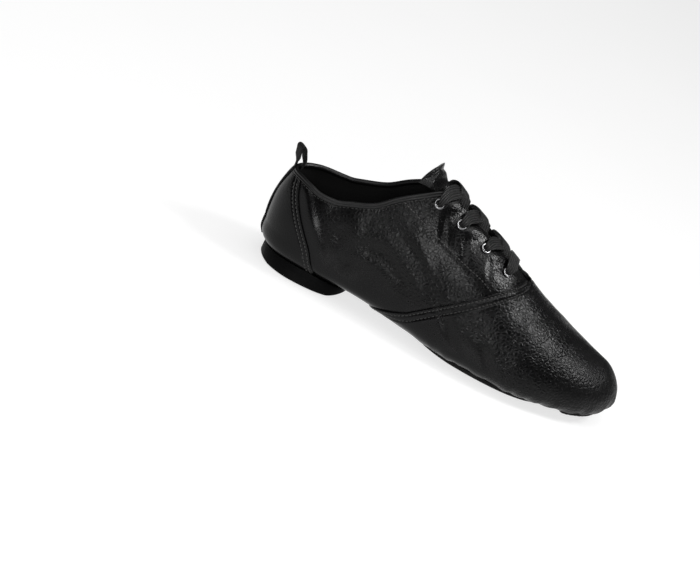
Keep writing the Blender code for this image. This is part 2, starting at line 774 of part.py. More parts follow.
eyelets = []
for word, side in (("lateral", -1), ("medial", 1)):
    for number, place in enumerate(eyelet_places, 1):
        eyelets.append(build_eyelet("eyelet_%s_%d" % (word, number), place, side))
        cut = upper.modifiers.new("eyelet_hole", "BOOLEAN")
        cut.object = cut_hole(place, side)
        cut.operation = "DIFFERENCE"
        cut.solver = "EXACT"


# Laces: a bar at the bottom pair and a crossing at each pair above
def lace_band(start, end, lifts, count=13):
    """Band over the instep from one plan spot to another; lifts hold its height."""
    shares = np.linspace(0, 1, count)
    path = np.array([np.array(start) + (np.array(end) - np.array(start)) * share for share in shares])
    heights = np.interp(shares, *zip(*lifts))
    centres = []
    outs = []
    for (x, y), height in zip(path, heights):
        point, out = dome_frame(np.float64(x), np.float64(y))
        centres.append(point + out * height)
        outs.append(out)
    step = np.gradient(np.array(centres), axis=0)
    wide = []
    for run, out in zip(step, outs):
        across = np.cross(out, run)
        wide.append(across / np.linalg.norm(across))
    return swept_strip(centres, wide, outs, lace_width, lace_thickness)


lace_rest = vamp_overlap + fit_gap + lace_thickness / 2
stop = eyelet_reach - eyelet_outer / 2 - 0.0012


def build_crossing(name, x_top, x_low):
    low_side = throat_width / 2 - 0.0026

    bands = []
    for side, lift in ((-1, 0.0), (1, 0.0008)):
        start = (x_top + 0.0022, float(crest_at(x_top)) + side * stop)
        end = (x_top + 0.50 * (x_low - x_top), float(crest_at(x_low)) - side * low_side)
        points, faces = lace_band(start, end, ((0.0, lace_rest), (0.45, lace_rest + lift),
                                               (0.8, lace_rest + lift), (1.0, lace_rest)))
        bands.append((points, faces))
    first = add_solid(name, *bands[0], lace_cloth)
    second = add_solid(name + "_other_band", *bands[1], None, cutters)
    second.hide_render = True
    second.display_type = "WIRE"
    join = first.modifiers.new("second_band", "BOOLEAN")
    join.object = second
    join.operation = "UNION"
    join.solver = "EXACT"
    return first


for number in range(3):
    build_crossing("lace_crossing_%d" % (number + 1), eyelet_places[number], eyelet_places[number + 1])

bar_x = eyelet_places[3]
bar_points, bar_faces = lace_band((bar_x, float(crest_at(bar_x)) - stop),
                                  (bar_x, float(crest_at(bar_x)) + stop),
                                  ((0, lace_rest), (1, lace_rest)), 11)
add_solid("lace_bar", bar_points, bar_faces, lace_cloth)

# Put the origin under the middle of the whole shoe, on the floor
bpy.context.view_layer.update()
corners = np.array([item.matrix_world @ vertex.co for item in shoe.objects
                    for vertex in item.data.vertices])
low = corners.min(axis=0)
high = corners.max(axis=0)
shift = np.array([(low[0] + high[0]) / 2, (low[1] + high[1]) / 2, 0.0])
for item in list(shoe.objects) + list(cutters.objects):
    for vertex in item.data.vertices:
        vertex.co.x -= shift[0]
        vertex.co.y -= shift[1]
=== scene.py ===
import math

import bmesh
import bpy
import numpy as np
from mathutils import Matrix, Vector
from mathutils.bvhtree import BVHTree


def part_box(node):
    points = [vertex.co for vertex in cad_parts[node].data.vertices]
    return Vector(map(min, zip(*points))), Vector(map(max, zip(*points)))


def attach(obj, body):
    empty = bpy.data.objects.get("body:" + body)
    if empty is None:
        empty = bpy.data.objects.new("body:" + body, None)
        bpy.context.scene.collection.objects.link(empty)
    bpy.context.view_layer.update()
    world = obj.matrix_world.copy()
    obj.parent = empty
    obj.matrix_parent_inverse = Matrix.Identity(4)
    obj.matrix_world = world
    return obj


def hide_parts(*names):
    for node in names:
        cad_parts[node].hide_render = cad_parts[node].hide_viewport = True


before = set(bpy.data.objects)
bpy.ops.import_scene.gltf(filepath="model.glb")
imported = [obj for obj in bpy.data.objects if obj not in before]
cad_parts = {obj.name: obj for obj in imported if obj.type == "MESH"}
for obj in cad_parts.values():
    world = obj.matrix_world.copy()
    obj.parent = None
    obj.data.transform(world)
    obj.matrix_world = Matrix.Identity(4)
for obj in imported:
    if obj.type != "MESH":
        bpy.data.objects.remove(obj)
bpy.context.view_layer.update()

# Camera
# The photo's long view from the outer side, a little above the shoe.
# The picture is rolled, because there the toe points down to the right.
view_azimuth = math.radians(0.89)
view_height = math.radians(20.92)
view_roll = math.radians(27.30)
view_distance = 1.336
view_target = np.array([-0.0546, 0.0, 0.0029])
towards = np.array([math.sin(view_azimuth) * math.cos(view_height),
                    -math.cos(view_azimuth) * math.cos(view_height), math.sin(view_height)])
level = np.array([math.cos(view_azimuth), math.sin(view_azimuth), 0.0])
upright = np.cross(towards, level)
camera_right = level * math.cos(view_roll) + upright * math.sin(view_roll)
camera_up = upright * math.cos(view_roll) - level * math.sin(view_roll)
camera = bpy.data.objects.new("camera", bpy.data.cameras.new("camera"))
bpy.context.scene.collection.objects.link(camera)
turned = np.column_stack([camera_right, camera_up, towards])
camera.matrix_world = Matrix.Translation(view_target + towards * view_distance) @ Matrix(turned).to_4x4()
camera.data.lens = 108.0
camera.data.sensor_width = 36.0
camera.data.clip_end = 20.0
bpy.context.scene.camera = camera


# Last
# The wooden form that the shoe is lasted on, which every piece takes its shape from.
# Shares of the foot's length and of the ball's width; heights as shares of the instep.
foot_length = 0.250
ball_width = 0.085
instep_height = 0.0635
collar_height = 0.061
heel_turn = 0.140 * foot_length
turn_length = 1.28 * heel_turn
heel_seat = 0.0084
ball_seat = 0.0030
toe_spring = 0.0055
arch_rise = 0.0050
wall = 0.0016
shoe_middle = np.array([0.5 * foot_length, 0, 0.4 * instep_height])
eyelet_stations = [share * foot_length for share in (0.378, 0.450, 0.530, 0.605)]
origin = np.array([foot_length + 0.0007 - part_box("upper")[1][0], 0.00045, 0.0])
LAST_COLUMNS = ("place", "lateral", "medial", "crest", "seat", "spring", "arch",
                "ridge", "widest", "corner")
LAST = (
    (0.000, 0.341, 0.341, 0.000, 1.00, 0.00, 0.00, 1.300, 0.370, 3.6),
    (0.140, 0.341, 0.341, 0.000, 1.00, 0.00, 0.00, 1.330, 0.370, 3.6),
    (0.240, 0.346, 0.336, 0.001, 1.00, 0.00, 0.20, 1.510, 0.365, 3.4),
    (0.320, 0.358, 0.326, 0.004, 0.86, 0.00, 0.70, 1.620, 0.350, 3.1),
    (0.380, 0.378, 0.330, 0.008, 0.64, 0.00, 1.00, 1.565, 0.335, 3.0),
    (0.448, 0.412, 0.346, 0.015, 0.32, 0.00, 0.80, 1.430, 0.320, 3.0),
    (0.520, 0.456, 0.386, 0.024, 0.07, 0.00, 0.35, 1.297, 0.300, 3.1),
    (0.592, 0.487, 0.436, 0.033, 0.00, 0.00, 0.08, 1.157, 0.285, 3.2),
    (0.668, 0.499, 0.483, 0.042, 0.00, 0.00, 0.00, 1.000, 0.270, 3.2),
    (0.720, 0.493, 0.506, 0.048, 0.00, 0.00, 0.00, 0.893, 0.262, 3.2),
    (0.780, 0.464, 0.509, 0.056, 0.00, 0.00, 0.00, 0.790, 0.255, 3.2),
    (0.848, 0.393, 0.482, 0.070, 0.00, 0.10, 0.00, 0.690, 0.252, 3.1),
    (0.904, 0.315, 0.442, 0.082, 0.00, 0.33, 0.00, 0.615, 0.258, 3.0),
    (0.952, 0.245, 0.400, 0.090, 0.00, 0.63, 0.00, 0.553, 0.272, 2.8),
    (1.000, 0.190, 0.365, 0.096, 0.00, 1.00, 0.00, 0.500, 0.292, 2.6),
)
COLLAR_COLUMNS = ("place", "lateral", "medial")
COLLAR = (
    (0.000, 1.000, 1.000),
    (0.030, 1.010, 1.015),
    (0.065, 1.000, 1.025),
    (0.105, 0.980, 1.025),
    (0.145, 0.990, 1.035),
    (0.185, 1.050, 1.085),
    (0.236, 1.145, 1.170),
    (0.284, 1.315, 1.325),
    (0.332, 1.450, 1.450),
    (0.368, 1.530, 1.530),
    (0.400, 1.565, 1.565),
)


def spline(places, values):
    """Smooth curve through a table's column that never overshoots its rows."""
    places = np.asarray(places, float)
    values = np.asarray(values, float)
    step = np.diff(places)
    rise = np.diff(values) / step
    slope = np.zeros(len(places))
    for row in range(1, len(places) - 1):
        if rise[row - 1] * rise[row] > 0:
            slope[row] = 2 * rise[row - 1] * rise[row] / (rise[row - 1] + rise[row])
    slope[0] = rise[0]
    slope[-1] = rise[-1]

    def value(at):
        at = np.clip(np.asarray(at, float), places[0], places[-1])
        row = np.clip(np.searchsorted(places, at) - 1, 0, len(step) - 1)
        t = (at - places[row]) / step[row]
        start = values[row] * (1 + 2 * t) * (1 - t) ** 2
        end = values[row + 1] * t * t * (3 - 2 * t)
        bend = step[row] * (slope[row] * t * (1 - t) ** 2 + slope[row + 1] * t * t * (t - 1))
        return start + end + bend

    return value


def table_curves(names, table):
    """A smooth curve over a table's first column for each of its columns."""
    columns = list(zip(*table))
    return {name: spline(columns[0], column) for name, column in zip(names, columns)}


def unit(arrows):
    return arrows / np.maximum(np.linalg.norm(arrows, axis=-1, keepdims=True), 1e-12)


def run_along(points):
    """Distance walked along a line of points, from 0 at its start."""
    return np.concatenate([[0], np.cumsum(np.linalg.norm(np.diff(points, axis=0), axis=1))])


last_curve = table_curves(LAST_COLUMNS, LAST)
collar_curve = table_curves(COLLAR_COLUMNS, COLLAR)
throat_end = 0.668 * foot_length
throat_top = 0.400 * foot_length
throat_width = 0.018


def last_section(x, side):
    """Crest, half width, underside, arch, ridge, widest height and corner of one section."""
    share = np.asarray(x, float) / foot_length
    round_plan = np.maximum(1 - np.clip((share - 0.88) / 0.12, 0, 1) ** 2.4, 0) ** (1 / 2.4)
    round_side = np.maximum(1 - np.clip((share - 0.936) / 0.064, 0, 1) ** 2.0, 0) ** 0.5
    crest = last_curve["crest"](share) * ball_width
    lateral = last_curve["lateral"](share) * ball_width + crest
    medial = last_curve["medial"](share) * ball_width - crest
    half = np.where(np.asarray(side) > 0, medial, lateral) * round_plan
    widest = last_curve["widest"](share) * instep_height
    under = (ball_seat + (heel_seat - ball_seat) * last_curve["seat"](share)
             + toe_spring * last_curve["spring"](share))
    under = widest - (widest - under) * round_side
    ridge = widest + (last_curve["ridge"](share) * instep_height - widest) * round_side
    arch = np.where(np.asarray(side) > 0, last_curve["arch"](share) * arch_rise, 0)
    return crest, half, under, arch, ridge, widest, last_curve["corner"](share)


def back_line(z):
    """How far forward of its fullest place the back seam stands at height z."""
    return 0.26 / heel_turn * (z - 0.60 * collar_height) ** 2


def last_point(q, theta, side):
    """Point on the last: q runs round the shoe from the back seam, theta up from under the foot."""
    q = np.asarray(q, float)
    theta = np.asarray(theta, float)
    plane = np.maximum(q - turn_length, 0) + heel_turn
    turn = np.clip(q / turn_length, 0, 1) * math.pi / 2
    crest, half, under, arch, ridge, widest, corner = last_section(plane, side)
    low = theta < 0
    power = np.where(low, 2 / corner, 1.0)
    across = np.maximum(np.cos(theta), 0) ** power
    up = np.abs(np.sin(theta)) ** power
    z_low = widest - (widest - under) * up + arch * across ** 2 * up
    z = np.where(low, z_low, widest + (ridge - widest) * up)
    reach = np.where(low, (heel_turn - back_line(widest)) * across, heel_turn - back_line(z))
    x = np.where(q < turn_length, heel_turn - reach * np.cos(turn), plane)
    y = crest + side * half * across * np.sin(turn)
    return np.stack(np.broadcast_arrays(x, y, z), axis=-1)


def place_of(q):
    turn = np.clip(q / turn_length, 0, 1) * math.pi / 2
    return np.where(q < turn_length, heel_turn * (1 - np.cos(turn)), q - turn_length + heel_turn)


def station_of(x):
    x = np.asarray(x, float)
    round_back = turn_length * np.arccos(np.clip(1 - x / heel_turn, -1, 1)) / (math.pi / 2)
    return np.where(x < heel_turn, round_back, x - heel_turn + turn_length)


def top_angle(q, side):
    """Angle at which the upper ends at the collar or at the facing edge."""
    x = place_of(q)
    crest, half, under, arch, ridge, widest, corner = last_section(np.maximum(x, heel_turn), side)
    height = np.where(np.asarray(side) > 0, collar_curve["medial"](x / foot_length),
                      collar_curve["lateral"](x / foot_length)) * collar_height
    collar = np.arcsin(np.clip((height - widest) / np.maximum(ridge - widest, 1e-6), 0, 1))
    bend = 0.72 * throat_width
    along = np.clip((x - (throat_end - bend)) / bend, 0, 1)
    gap = 0.5 * throat_width * np.sqrt(np.maximum(1 - along ** 2, 0))
    throat = np.arccos(np.clip(gap / np.maximum(half, 1e-6), 0, 1))
    return np.where(x < throat_top - 1e-6, np.minimum(collar, 1.5), throat)


def underside(x, y):
    """Height of the underside of the upper above the floor."""
    x = np.asarray(x, float)
    y = np.asarray(y, float)
    plane = np.maximum(x, heel_turn)
    side = np.where(y > last_curve["crest"](plane / foot_length) * ball_width, 1, -1)
    crest, half, under, arch, ridge, widest, corner = last_section(plane, side)
    out = np.abs(y - crest) / np.maximum(half, 1e-6)
    back = np.maximum(heel_turn - x, 0) / (heel_turn - back_line(widest))
    out = np.minimum(np.sqrt(out ** 2 + back ** 2), 0.999)
    up = (1 - out ** corner) ** (1 / corner)
    return widest - (widest - under) * up + arch * out ** 2 * up


def slopes(height, x, y):
    """How steeply a height rises along x and along y."""
    step = 0.0005
    return ((height(x + step, y) - height(x - step, y)) / (2 * step),
            (height(x, y + step) - height(x, y - step)) / (2 * step))


def off_underside(x, y, away):
    """Height of a surface that keeps a distance from the underside, square to it."""
    slope_x, slope_y = slopes(underside, x, y)
    return underside(x, y) + away * np.sqrt(1 + slope_x ** 2 + slope_y ** 2)


def crest_at(x):
    return last_curve["crest"](np.asarray(x, float) / foot_length) * ball_width


def instep(x, y):
    """Point of the instep over the plan place x, y, and the direction out of it."""
    def height(x, y):
        side = np.where(y > crest_at(x), 1, -1)
        crest, half, under, arch, ridge, widest, corner = last_section(x, side)
        out = np.minimum(np.abs(y - crest) / np.maximum(half, 1e-6), 0.999)
        return widest + (ridge - widest) * np.sqrt(1 - out ** 2)

    x = np.asarray(x, float)
    y = np.asarray(y, float)
    slope_x, slope_y = slopes(height, x, y)
    out = unit(np.stack([-slope_x, -slope_y, np.ones_like(slope_x)], axis=-1))
    return np.stack(np.broadcast_arrays(x, y, height(x, y)), axis=-1), out


# Finishes
# A finish is worked out on the surface from where a spot lies on the shoe.
# Strand carries a value through the nodes, so that finishes read as sums.
class Strand:
    def __init__(self, finish, socket):
        self.finish = finish
        self.socket = socket

    def __add__(self, other):
        return self.finish.sum("ADD", self, other)

    __radd__ = __add__

    def __mul__(self, other):
        return self.finish.sum("MULTIPLY", self, other)

    def __sub__(self, other):
        return self.finish.sum("SUBTRACT", self, other)

    def __rsub__(self, other):
        return self.finish.sum("SUBTRACT", other, self)

    def __truediv__(self, other):
        return self.finish.sum("DIVIDE", self, other)

    def between(self, low, high):
        """0 below low, 1 above high, smooth between."""
        settings = {"interpolation_type": "SMOOTHSTEP"}
        return self.finish.node("ShaderNodeMapRange", settings, 0, self, low, high, 0.0, 1.0)


class Finish:
    def __init__(self, name, **constants):
        self.material = bpy.data.materials.new(name)
        self.material.use_nodes = True
        self.tree = self.material.node_tree
        self.shader = self.tree.nodes["Principled BSDF"]
        for word, value in constants.items():
            self.shader.inputs[word.replace("_", " ")].default_value = value
        self.place = self.node("ShaderNodeTexCoord", {}, "Object")
        self.x, self.z = (self.node("ShaderNodeSeparateXYZ", {}, axis, self.place) for axis in "XZ")

    def node(self, kind, settings, output, *values, **named):
        made = self.tree.nodes.new(kind)
        for word, value in settings.items():
            setattr(made, word, value)
        sockets = [(made.inputs[number], value) for number, value in enumerate(values)]
        sockets += [(made.inputs[word.replace("_", " ")], value) for word, value in named.items()]
        for socket, value in sockets:
            if isinstance(value, Strand):
                self.tree.links.new(value.socket, socket)
            elif value is not None:
                socket.default_value = value
        return Strand(self, made.outputs[output])

    def sum(self, operation, *values):
        return self.node("ShaderNodeMath", {"operation": operation}, 0, *values)

    def noise(self, scale, detail=3.0, place=None, rough=0.5):
        return self.node("ShaderNodeTexNoise", {}, "Fac", Vector=place or self.place, Scale=scale,
                         Detail=detail, Roughness=rough)

    def cells(self, scale, feature="F1", place=None):
        return self.node("ShaderNodeTexVoronoi", {"feature": feature}, "Distance",
                         Vector=place or self.place, Scale=scale)

    def stretched(self, x, y, z):
        """The place with each axis drawn out."""
        return self.node("ShaderNodeVectorMath", {"operation": "MULTIPLY"}, "Vector", self.place, (x, y, z))

    def blend(self, share, *tones):
        """From the first colour to the second, which are inputs 6 and 7 of the mixing node."""
        tones = [tone if isinstance(tone, Strand) else (*tone, 1) for tone in tones]
        return self.node("ShaderNodeMix", {"data_type": "RGBA"}, 2, share, *[None] * 5, *tones)

    def bump(self, height, distance, strength=1.0, under=None):
        return self.node("ShaderNodeBump", {}, "Normal", Strength=strength, Distance=distance,
                         Height=height, Normal=under)

    def weave_place(self):
        """Length and width along a woven band, in millimetres."""
        woven = self.node("ShaderNodeUVMap", {"uv_map": "weave"}, "UV")
        return [self.node("ShaderNodeSeparateXYZ", {}, axis, woven) for axis in "XY"]

    def wave(self, turns):
        """A smooth wave from 0 to 1, once a turn."""
        return self.sum("SINE", turns * (2 * math.pi)) * 0.5 + 0.5

    def feed(self, **strands):
        for word, strand in strands.items():
            self.tree.links.new(strand.socket, self.shader.inputs[word.replace("_", " ")])


def add_piece(name, points, faces, finish, replaced=(), slot=None, sharp=40, weave=None):
    """A piece of the shoe from points in the last's own sizes; it rides on the shoe."""
    mesh = bpy.data.meshes.new(name)
    places = (np.asarray(points, float) - origin).tolist()
    mesh.from_pydata(places, [], [list(map(int, ring)) for ring in faces])
    mesh.materials.append(finish.material)
    if weave is not None:
        layer = mesh.uv_layers.new(name="weave")
        flat = np.asarray(weave, float)[[loop.vertex_index for loop in mesh.loops]]
        layer.data.foreach_set("uv", flat.ravel())
    work = bmesh.new()
    work.from_mesh(mesh)
    bmesh.ops.recalc_face_normals(work, faces=work.faces)
    work.to_mesh(mesh)
    work.free()
    mesh.shade_smooth()
    mesh.set_sharp_from_angle(angle=math.radians(sharp))
    piece = bpy.data.objects.new(name, mesh)
    bpy.context.scene.collection.objects.link(piece)
    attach(piece, "root")
    if replaced:
        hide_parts(*replaced)
    return piece


# Upper
# Soft black grained leather: a vamp, two quarters and a back panel, each cut flat and sewn.
# The vamp and the back panel lap over the quarters; all is pulled over the last and turned under.
counter_seam = (float(station_of(0.188 * foot_length)), float(station_of(0.028 * foot_length)))
vamp_seam = (float(station_of(0.330 * foot_length)), float(station_of(0.655 * foot_length)))
corner_station = float(station_of(throat_top))
toe_station = float(station_of(foot_length))
vamp_lap = 0.0008
counter_lap = 0.0007
roll_rise = 0.0011
panel_gap = 0.0001
back_panel, quarter, vamp = 0, 1, 2
upper_rows = 74
patch_span = (0.460 * foot_length, 0.856 * foot_length)
heel_front = 0.272 * foot_length

# Creases: from and to as place along the foot and distance down from the crest line,
# medial positive; then width and depth. A soft ridge stands on both sides of each.
CREASES = (
    (0.178, -0.030, 0.192, 0.004, 0.0040, 0.00030),
    (0.188, -0.040, 0.206, -0.008, 0.0038, 0.00028),
    (0.192, 0.012, 0.186, 0.040, 0.0038, 0.00035),
    (0.202, -0.034, 0.215, -0.014, 0.0032, 0.00022),
    (0.166, -0.020, 0.176, -0.046, 0.0034, 0.00035),
    (0.100, -0.023, 0.106, -0.036, 0.0018, 0.0008),
    (0.118, -0.023, 0.124, -0.035, 0.0018, 0.0008),
    (0.138, -0.022, 0.143, -0.033, 0.0016, 0.0007),
    (0.104, 0.023, 0.109, 0.035, 0.0018, 0.0007),
    (0.124, 0.023, 0.130, 0.034, 0.0018, 0.0007),
    (0.060, -0.062, 0.098, -0.074, 0.0040, 0.0010),
    (0.072, -0.048, 0.112, -0.062, 0.0036, 0.0007),
    (0.046, -0.050, 0.062, -0.078, 0.0040, 0.0008),
    (0.058, 0.056, 0.096, 0.074, 0.0040, 0.0009),
    (0.090, 0.050, 0.120, 0.064, 0.0034, 0.0006),
    (0.118, -0.062, 0.150, -0.078, 0.0032, 0.0007),
    (0.150, -0.058, 0.182, -0.074, 0.0030, 0.0006),
    (0.099, -0.020, 0.107, -0.0095, 0.0030, -0.0009),
    (0.117, -0.021, 0.127, -0.0095, 0.0032, -0.0009),
    (0.136, -0.022, 0.146, -0.0095, 0.0032, -0.0008),
    (0.153, -0.020, 0.160, -0.0095, 0.0028, -0.0007),
    (0.099, 0.020, 0.107, 0.0095, 0.0030, -0.0009),
    (0.117, 0.021, 0.127, 0.0095, 0.0032, -0.0009),
    (0.136, 0.022, 0.146, 0.0095, 0.0032, -0.0008),
)


def rib(low, high, side, rows):
    """Points up one rib of the upper, with the height share of each."""
    middle = 0.5 * (patch_span[0] + patch_span[1])
    x_low = float(place_of(low))
    heel_open = min(max((x_low - heel_turn) / (0.55 * (heel_front - heel_turn)), 0), 1)
    ball_open = min(abs(x_low - middle) / (0.36 * (patch_span[1] - patch_span[0])), 1)
    open_share = 0.55 * max(math.sqrt(1 - heel_open ** 2), math.sqrt(1 - ball_open ** 2))
    corner = float(last_section(np.maximum(x_low, heel_turn), side)[-1])
    start = -math.acos(open_share ** (corner / 2)) if open_share > 0 else -math.pi / 2
    end = float(top_angle(high, side))
    theta = np.linspace(start, end, 320)
    low_part = 0.25 * (1 - np.abs(np.sin(theta)) ** (2 / corner))
    height = np.where(theta < 0, low_part, 0.25 + 0.75 * np.sin(theta) / math.sin(end))
    sweep = min(max((low - counter_seam[0]) / (vamp_seam[0] - counter_seam[0]), 0), 1)
    path = last_point(low + (high - low) * (height + 0.075 * sweep * np.sin(math.pi * height)), theta, side)
    size = np.linalg.norm(np.diff(path, axis=0), axis=1)
    run = np.diff(path, axis=0) / np.maximum(size, 1e-9)[:, None]
    turn = np.zeros(len(size))
    turn[1:] = np.arccos(np.clip((run[1:] * run[:-1]).sum(axis=1), -1, 1))
    length = np.concatenate([[0], np.cumsum(size)])
    measure = np.concatenate([[0], np.cumsum(size + 0.010 * turn)])
    marks = np.interp(np.linspace(0, measure[-1], rows), measure, length)
    points = np.stack([np.interp(marks, length, path[:, axis]) for axis in range(3)], axis=-1)
    points[0], points[-1] = path[0], path[-1]
    return points, np.interp(marks, length, height)


def seam_line(seam, side, count=160):
    """The points of a seam on the last, from under the foot to its top."""
    return rib(seam[0], seam[1], side, count)[0]


def close_in(points, line):
    """Distance from each point to a line of points."""
    best = np.full(len(points), 1.0)
    for a, b in zip(line[:-1], line[1:]):
        along = b - a
        share = np.clip((points - a) @ along / max(along @ along, 1e-12), 0, 1)
        best = np.minimum(best, np.linalg.norm(points - a - share[:, None] * along, axis=1))
    return best


def facing_line(side):
    """The slanting row of stitches that holds the facing behind the eyelets."""
    rows = ((0.072, 0.0800), (0.084, 0.0765), (0.096, 0.0722), (0.110, 0.0680),
            (0.124, 0.0640), (0.139, 0.0600), (0.150, 0.0555))
    spots, knots = np.linspace(0, 1, 60), np.linspace(0, 1, len(rows))
    x, z = (np.interp(spots, knots, column) for column in zip(*rows))
    crest, half, under, arch, ridge, widest, corner = last_section(x, side)
    rise = np.clip((z - widest) / (ridge - widest), 0, 1)
    return np.stack([x, crest + side * half * np.sqrt(1 - rise ** 2), z], axis=-1)


def swell(value, centre, width):
    return np.exp(-((value - centre) / width) ** 2)


def step_up(value, width):
    share = np.clip(value / width, 0, 1)
    return share * share * (3 - 2 * share)


def crowd(shares, near):
    """Extra ribs crowded close to one end, where a panel's edge is."""
    return sorted(set(np.round(np.concatenate([shares, near]), 6)))


def ribs_between(start, end, gap, shares, part):
    """Stations at foot and top of one panel's ribs, from just past one seam to the next."""
    return [(start[0] + gap + (end[0] - gap - start[0]) * share,
             start[1] + gap + (end[1] - gap - start[1]) * share, part) for share in shares]


near_seam = np.arange(0.0, 0.085, 0.0038)
corner_share = (corner_station - counter_seam[1]) / (vamp_seam[1] - counter_seam[1])
throat_share = ((float(station_of(throat_end)) - vamp_seam[1] - panel_gap)
                / (toe_station - panel_gap - vamp_seam[1]))
back_shares = crowd(np.linspace(0, 0.72, 17), np.linspace(0.74, 1, 23))
quarter_shares = crowd(np.linspace(0, 1, 112), [0.002, 0.005, 0.009, 0.014, corner_share - 0.001,
                                                corner_share, 0.991, 0.996, 0.9985])
vamp_shares = crowd(1 - (1 - np.linspace(0.09, 1, 96)) ** 1.25,
                    [*near_seam, *(throat_share - np.array([0.004, 0.0015, 0.0004, 0.0]))])
ribs = ribs_between((0, 0), counter_seam, 0, back_shares, back_panel)
ribs += ribs_between(counter_seam, vamp_seam, panel_gap, quarter_shares, quarter)
ribs += ribs_between(vamp_seam, (toe_station, toe_station), panel_gap, vamp_shares, vamp)

upper_points, panel, height_share, known, grid = [], [], [], {}, {}
for side in (-1, 1):
    for number, (low, high, part) in enumerate(ribs):
        for row, (point, height) in enumerate(zip(*rib(low, high, side, upper_rows))):
            key = tuple(np.round(point * 1e7).astype(int))
            if key not in known:
                known[key] = len(upper_points)
                upper_points.append(point)
                panel.append(part)
                height_share.append(height)
            grid[side, number, row] = known[key]
upper_faces = []
for side in (-1, 1):
    for number in range(len(ribs) - 1):
        for row in range(upper_rows - 1):
            ring = [grid[side, number, row], grid[side, number + 1, row],
                    grid[side, number + 1, row + 1], grid[side, number, row + 1]]
            ring = [spot for place, spot in enumerate(ring) if spot != ring[place - 1]]
            if len(set(ring)) >= 3:
                upper_faces.append(ring if side < 0 else ring[::-1])
base = np.array(upper_points)
panel = np.array(panel)
height_share = np.array(height_share)
lateral = base[:, 1] < crest_at(np.maximum(base[:, 0], heel_turn))


def surface_normals(points, faces):
    normal = np.zeros_like(points)
    for size in (3, 4):
        rings = np.array([ring for ring in faces if len(ring) == size])
        if len(rings) == 0:
            continue
        a, b, c = points[rings[:, 0]], points[rings[:, 1]], points[rings[:, 2]]
        area = np.cross(b - a, c - a)
        if size == 4:
            area = area + np.cross(c - a, points[rings[:, 3]] - a)
        for column in range(size):
            np.add.at(normal, rings[:, column], area)
    normal = unit(normal)
    return normal if ((points - shoe_middle) * normal).sum() > 0 else -normal


def from_lines(outer, inner):
    """Each spot's distance from the outer side's line, or on the inner side from that side's."""
    return np.where(lateral, close_in(base, outer), close_in(base, inner))


upper_normal = surface_normals(base, upper_faces)
to_vamp = from_lines(*(seam_line(vamp_seam, side) for side in (-1, 1)))
to_counter = from_lines(*(seam_line(counter_seam, side) for side in (-1, 1)))
to_facing = from_lines(*(facing_line(side) for side in (-1, 1)))
crest, half, under, arch, ridge, widest, corner = last_section(np.maximum(base[:, 0], heel_turn), 1)
girth = np.hypot(base[:, 1] - crest, 1.05 * (ridge - base[:, 2])) * np.where(lateral, -1, 1)

# Two panels lap over the quarter, which rolls up behind the back panel
rolled = step_up(height_share - 0.14, 0.20) * (1 - 0.55 * step_up(height_share - 0.86, 0.14))
push = vamp_lap * (panel == vamp) * step_up(to_vamp + 0.0002, 0.0006)
push += counter_lap * (panel == back_panel) * step_up(to_counter + 0.0002, 0.0006)
push += roll_rise * (panel == quarter) * rolled * swell(to_counter, 0.0065, 0.0034)

# Ridges and grooves along the seams: height, distance from the line and width of each
for part, distance, ridges in (
        (vamp, to_vamp, ((0.00022, 0.0009, 0.0006), (-0.00020, 0.0019, 0.0004), (0.00025, 0.0036, 0.0010),
                         (-0.00060, 0.0055, 0.0006), (0.00020, 0.0070, 0.0008))),
        (quarter, to_vamp, ((-0.00025, 0.0, 0.0012),)),
        (back_panel, to_counter, ((-0.0003, 0.0018, 0.0006), (-0.0003, 0.0042, 0.0006))),
        (quarter, to_counter, ((-0.0003, 0.0, 0.0018),)),
        (quarter, to_facing, ((-0.00022, 0.0, 0.0006), (0.00016, 0.0016, 0.0009)))):
    push += (panel == part) * sum(height * swell(distance, at, width) for height, at, width in ridges)

on_front = step_up(base[:, 2] - under, 0.003)
flat = np.stack([base[:, 0], girth], axis=-1)
for x_from, down_from, x_to, down_to, width, depth in CREASES:
    start = np.array([x_from, down_from])
    along = np.array([x_to, down_to]) - start
    share = (flat - start) @ along / (along @ along)
    held = np.clip(share, 0, 1)
    apart = np.linalg.norm(flat - start - held[:, None] * along, axis=1)
    fade = np.sqrt(np.clip(4 * held * (1 - held), 0, 1)) * 0.8 + 0.2
    push += on_front * fade * depth * (0.55 * swell(apart, 1.9 * width, 0.9 * width) - swell(apart, 0, width))

# Pleats where the vamp is gathered under the edge of the sole patch
around = np.arctan2((base[:, 1] - 0.004) / 0.80, base[:, 0] - 0.168)
uneven = 0.9 * np.sin(3 * around + 0.7) + 0.7 * np.sin(7 * around + 2.0)
fold = (0.5 + 0.5 * np.cos(34 * around + uneven)) ** 2.0
fine_fold = 0.5 + 0.5 * np.cos(71 * around - 1.7 * uneven)
low_edge = 1 - step_up(base[:, 2] - under - 0.0015, 0.0100)
gathered = step_up(base[:, 0] - 0.112, 0.020) * low_edge * (panel == vamp)
gathered *= 0.55 + 0.45 * step_up(base[:, 0] - 0.150, 0.05)
push += gathered * (0.00085 * (fold - 0.35) + 0.00028 * (fine_fold - 0.5))

# The leather's slow swells, since it is soft and empty
push += 0.00028 * (np.sin(95 * base[:, 0] + 60 * girth + 0.4) * np.sin(70 * girth - 40 * base[:, 0] + 1.1))
push += 0.00016 * np.sin(210 * base[:, 0] - 130 * girth) * np.sin(170 * girth + 90 * base[:, 0] + 0.8)

outer_skin = base + upper_normal * push[:, None]
inner_skin = base - upper_normal * wall
count = len(base)
edges = {(ring[place - 1], spot) for ring in upper_faces for place, spot in enumerate(ring)}
all_faces = list(upper_faces) + [[spot + count for spot in ring[::-1]] for ring in upper_faces]
all_faces += [[b, a, a + count, b + count] for a, b in sorted(edges) if (b, a) not in edges]

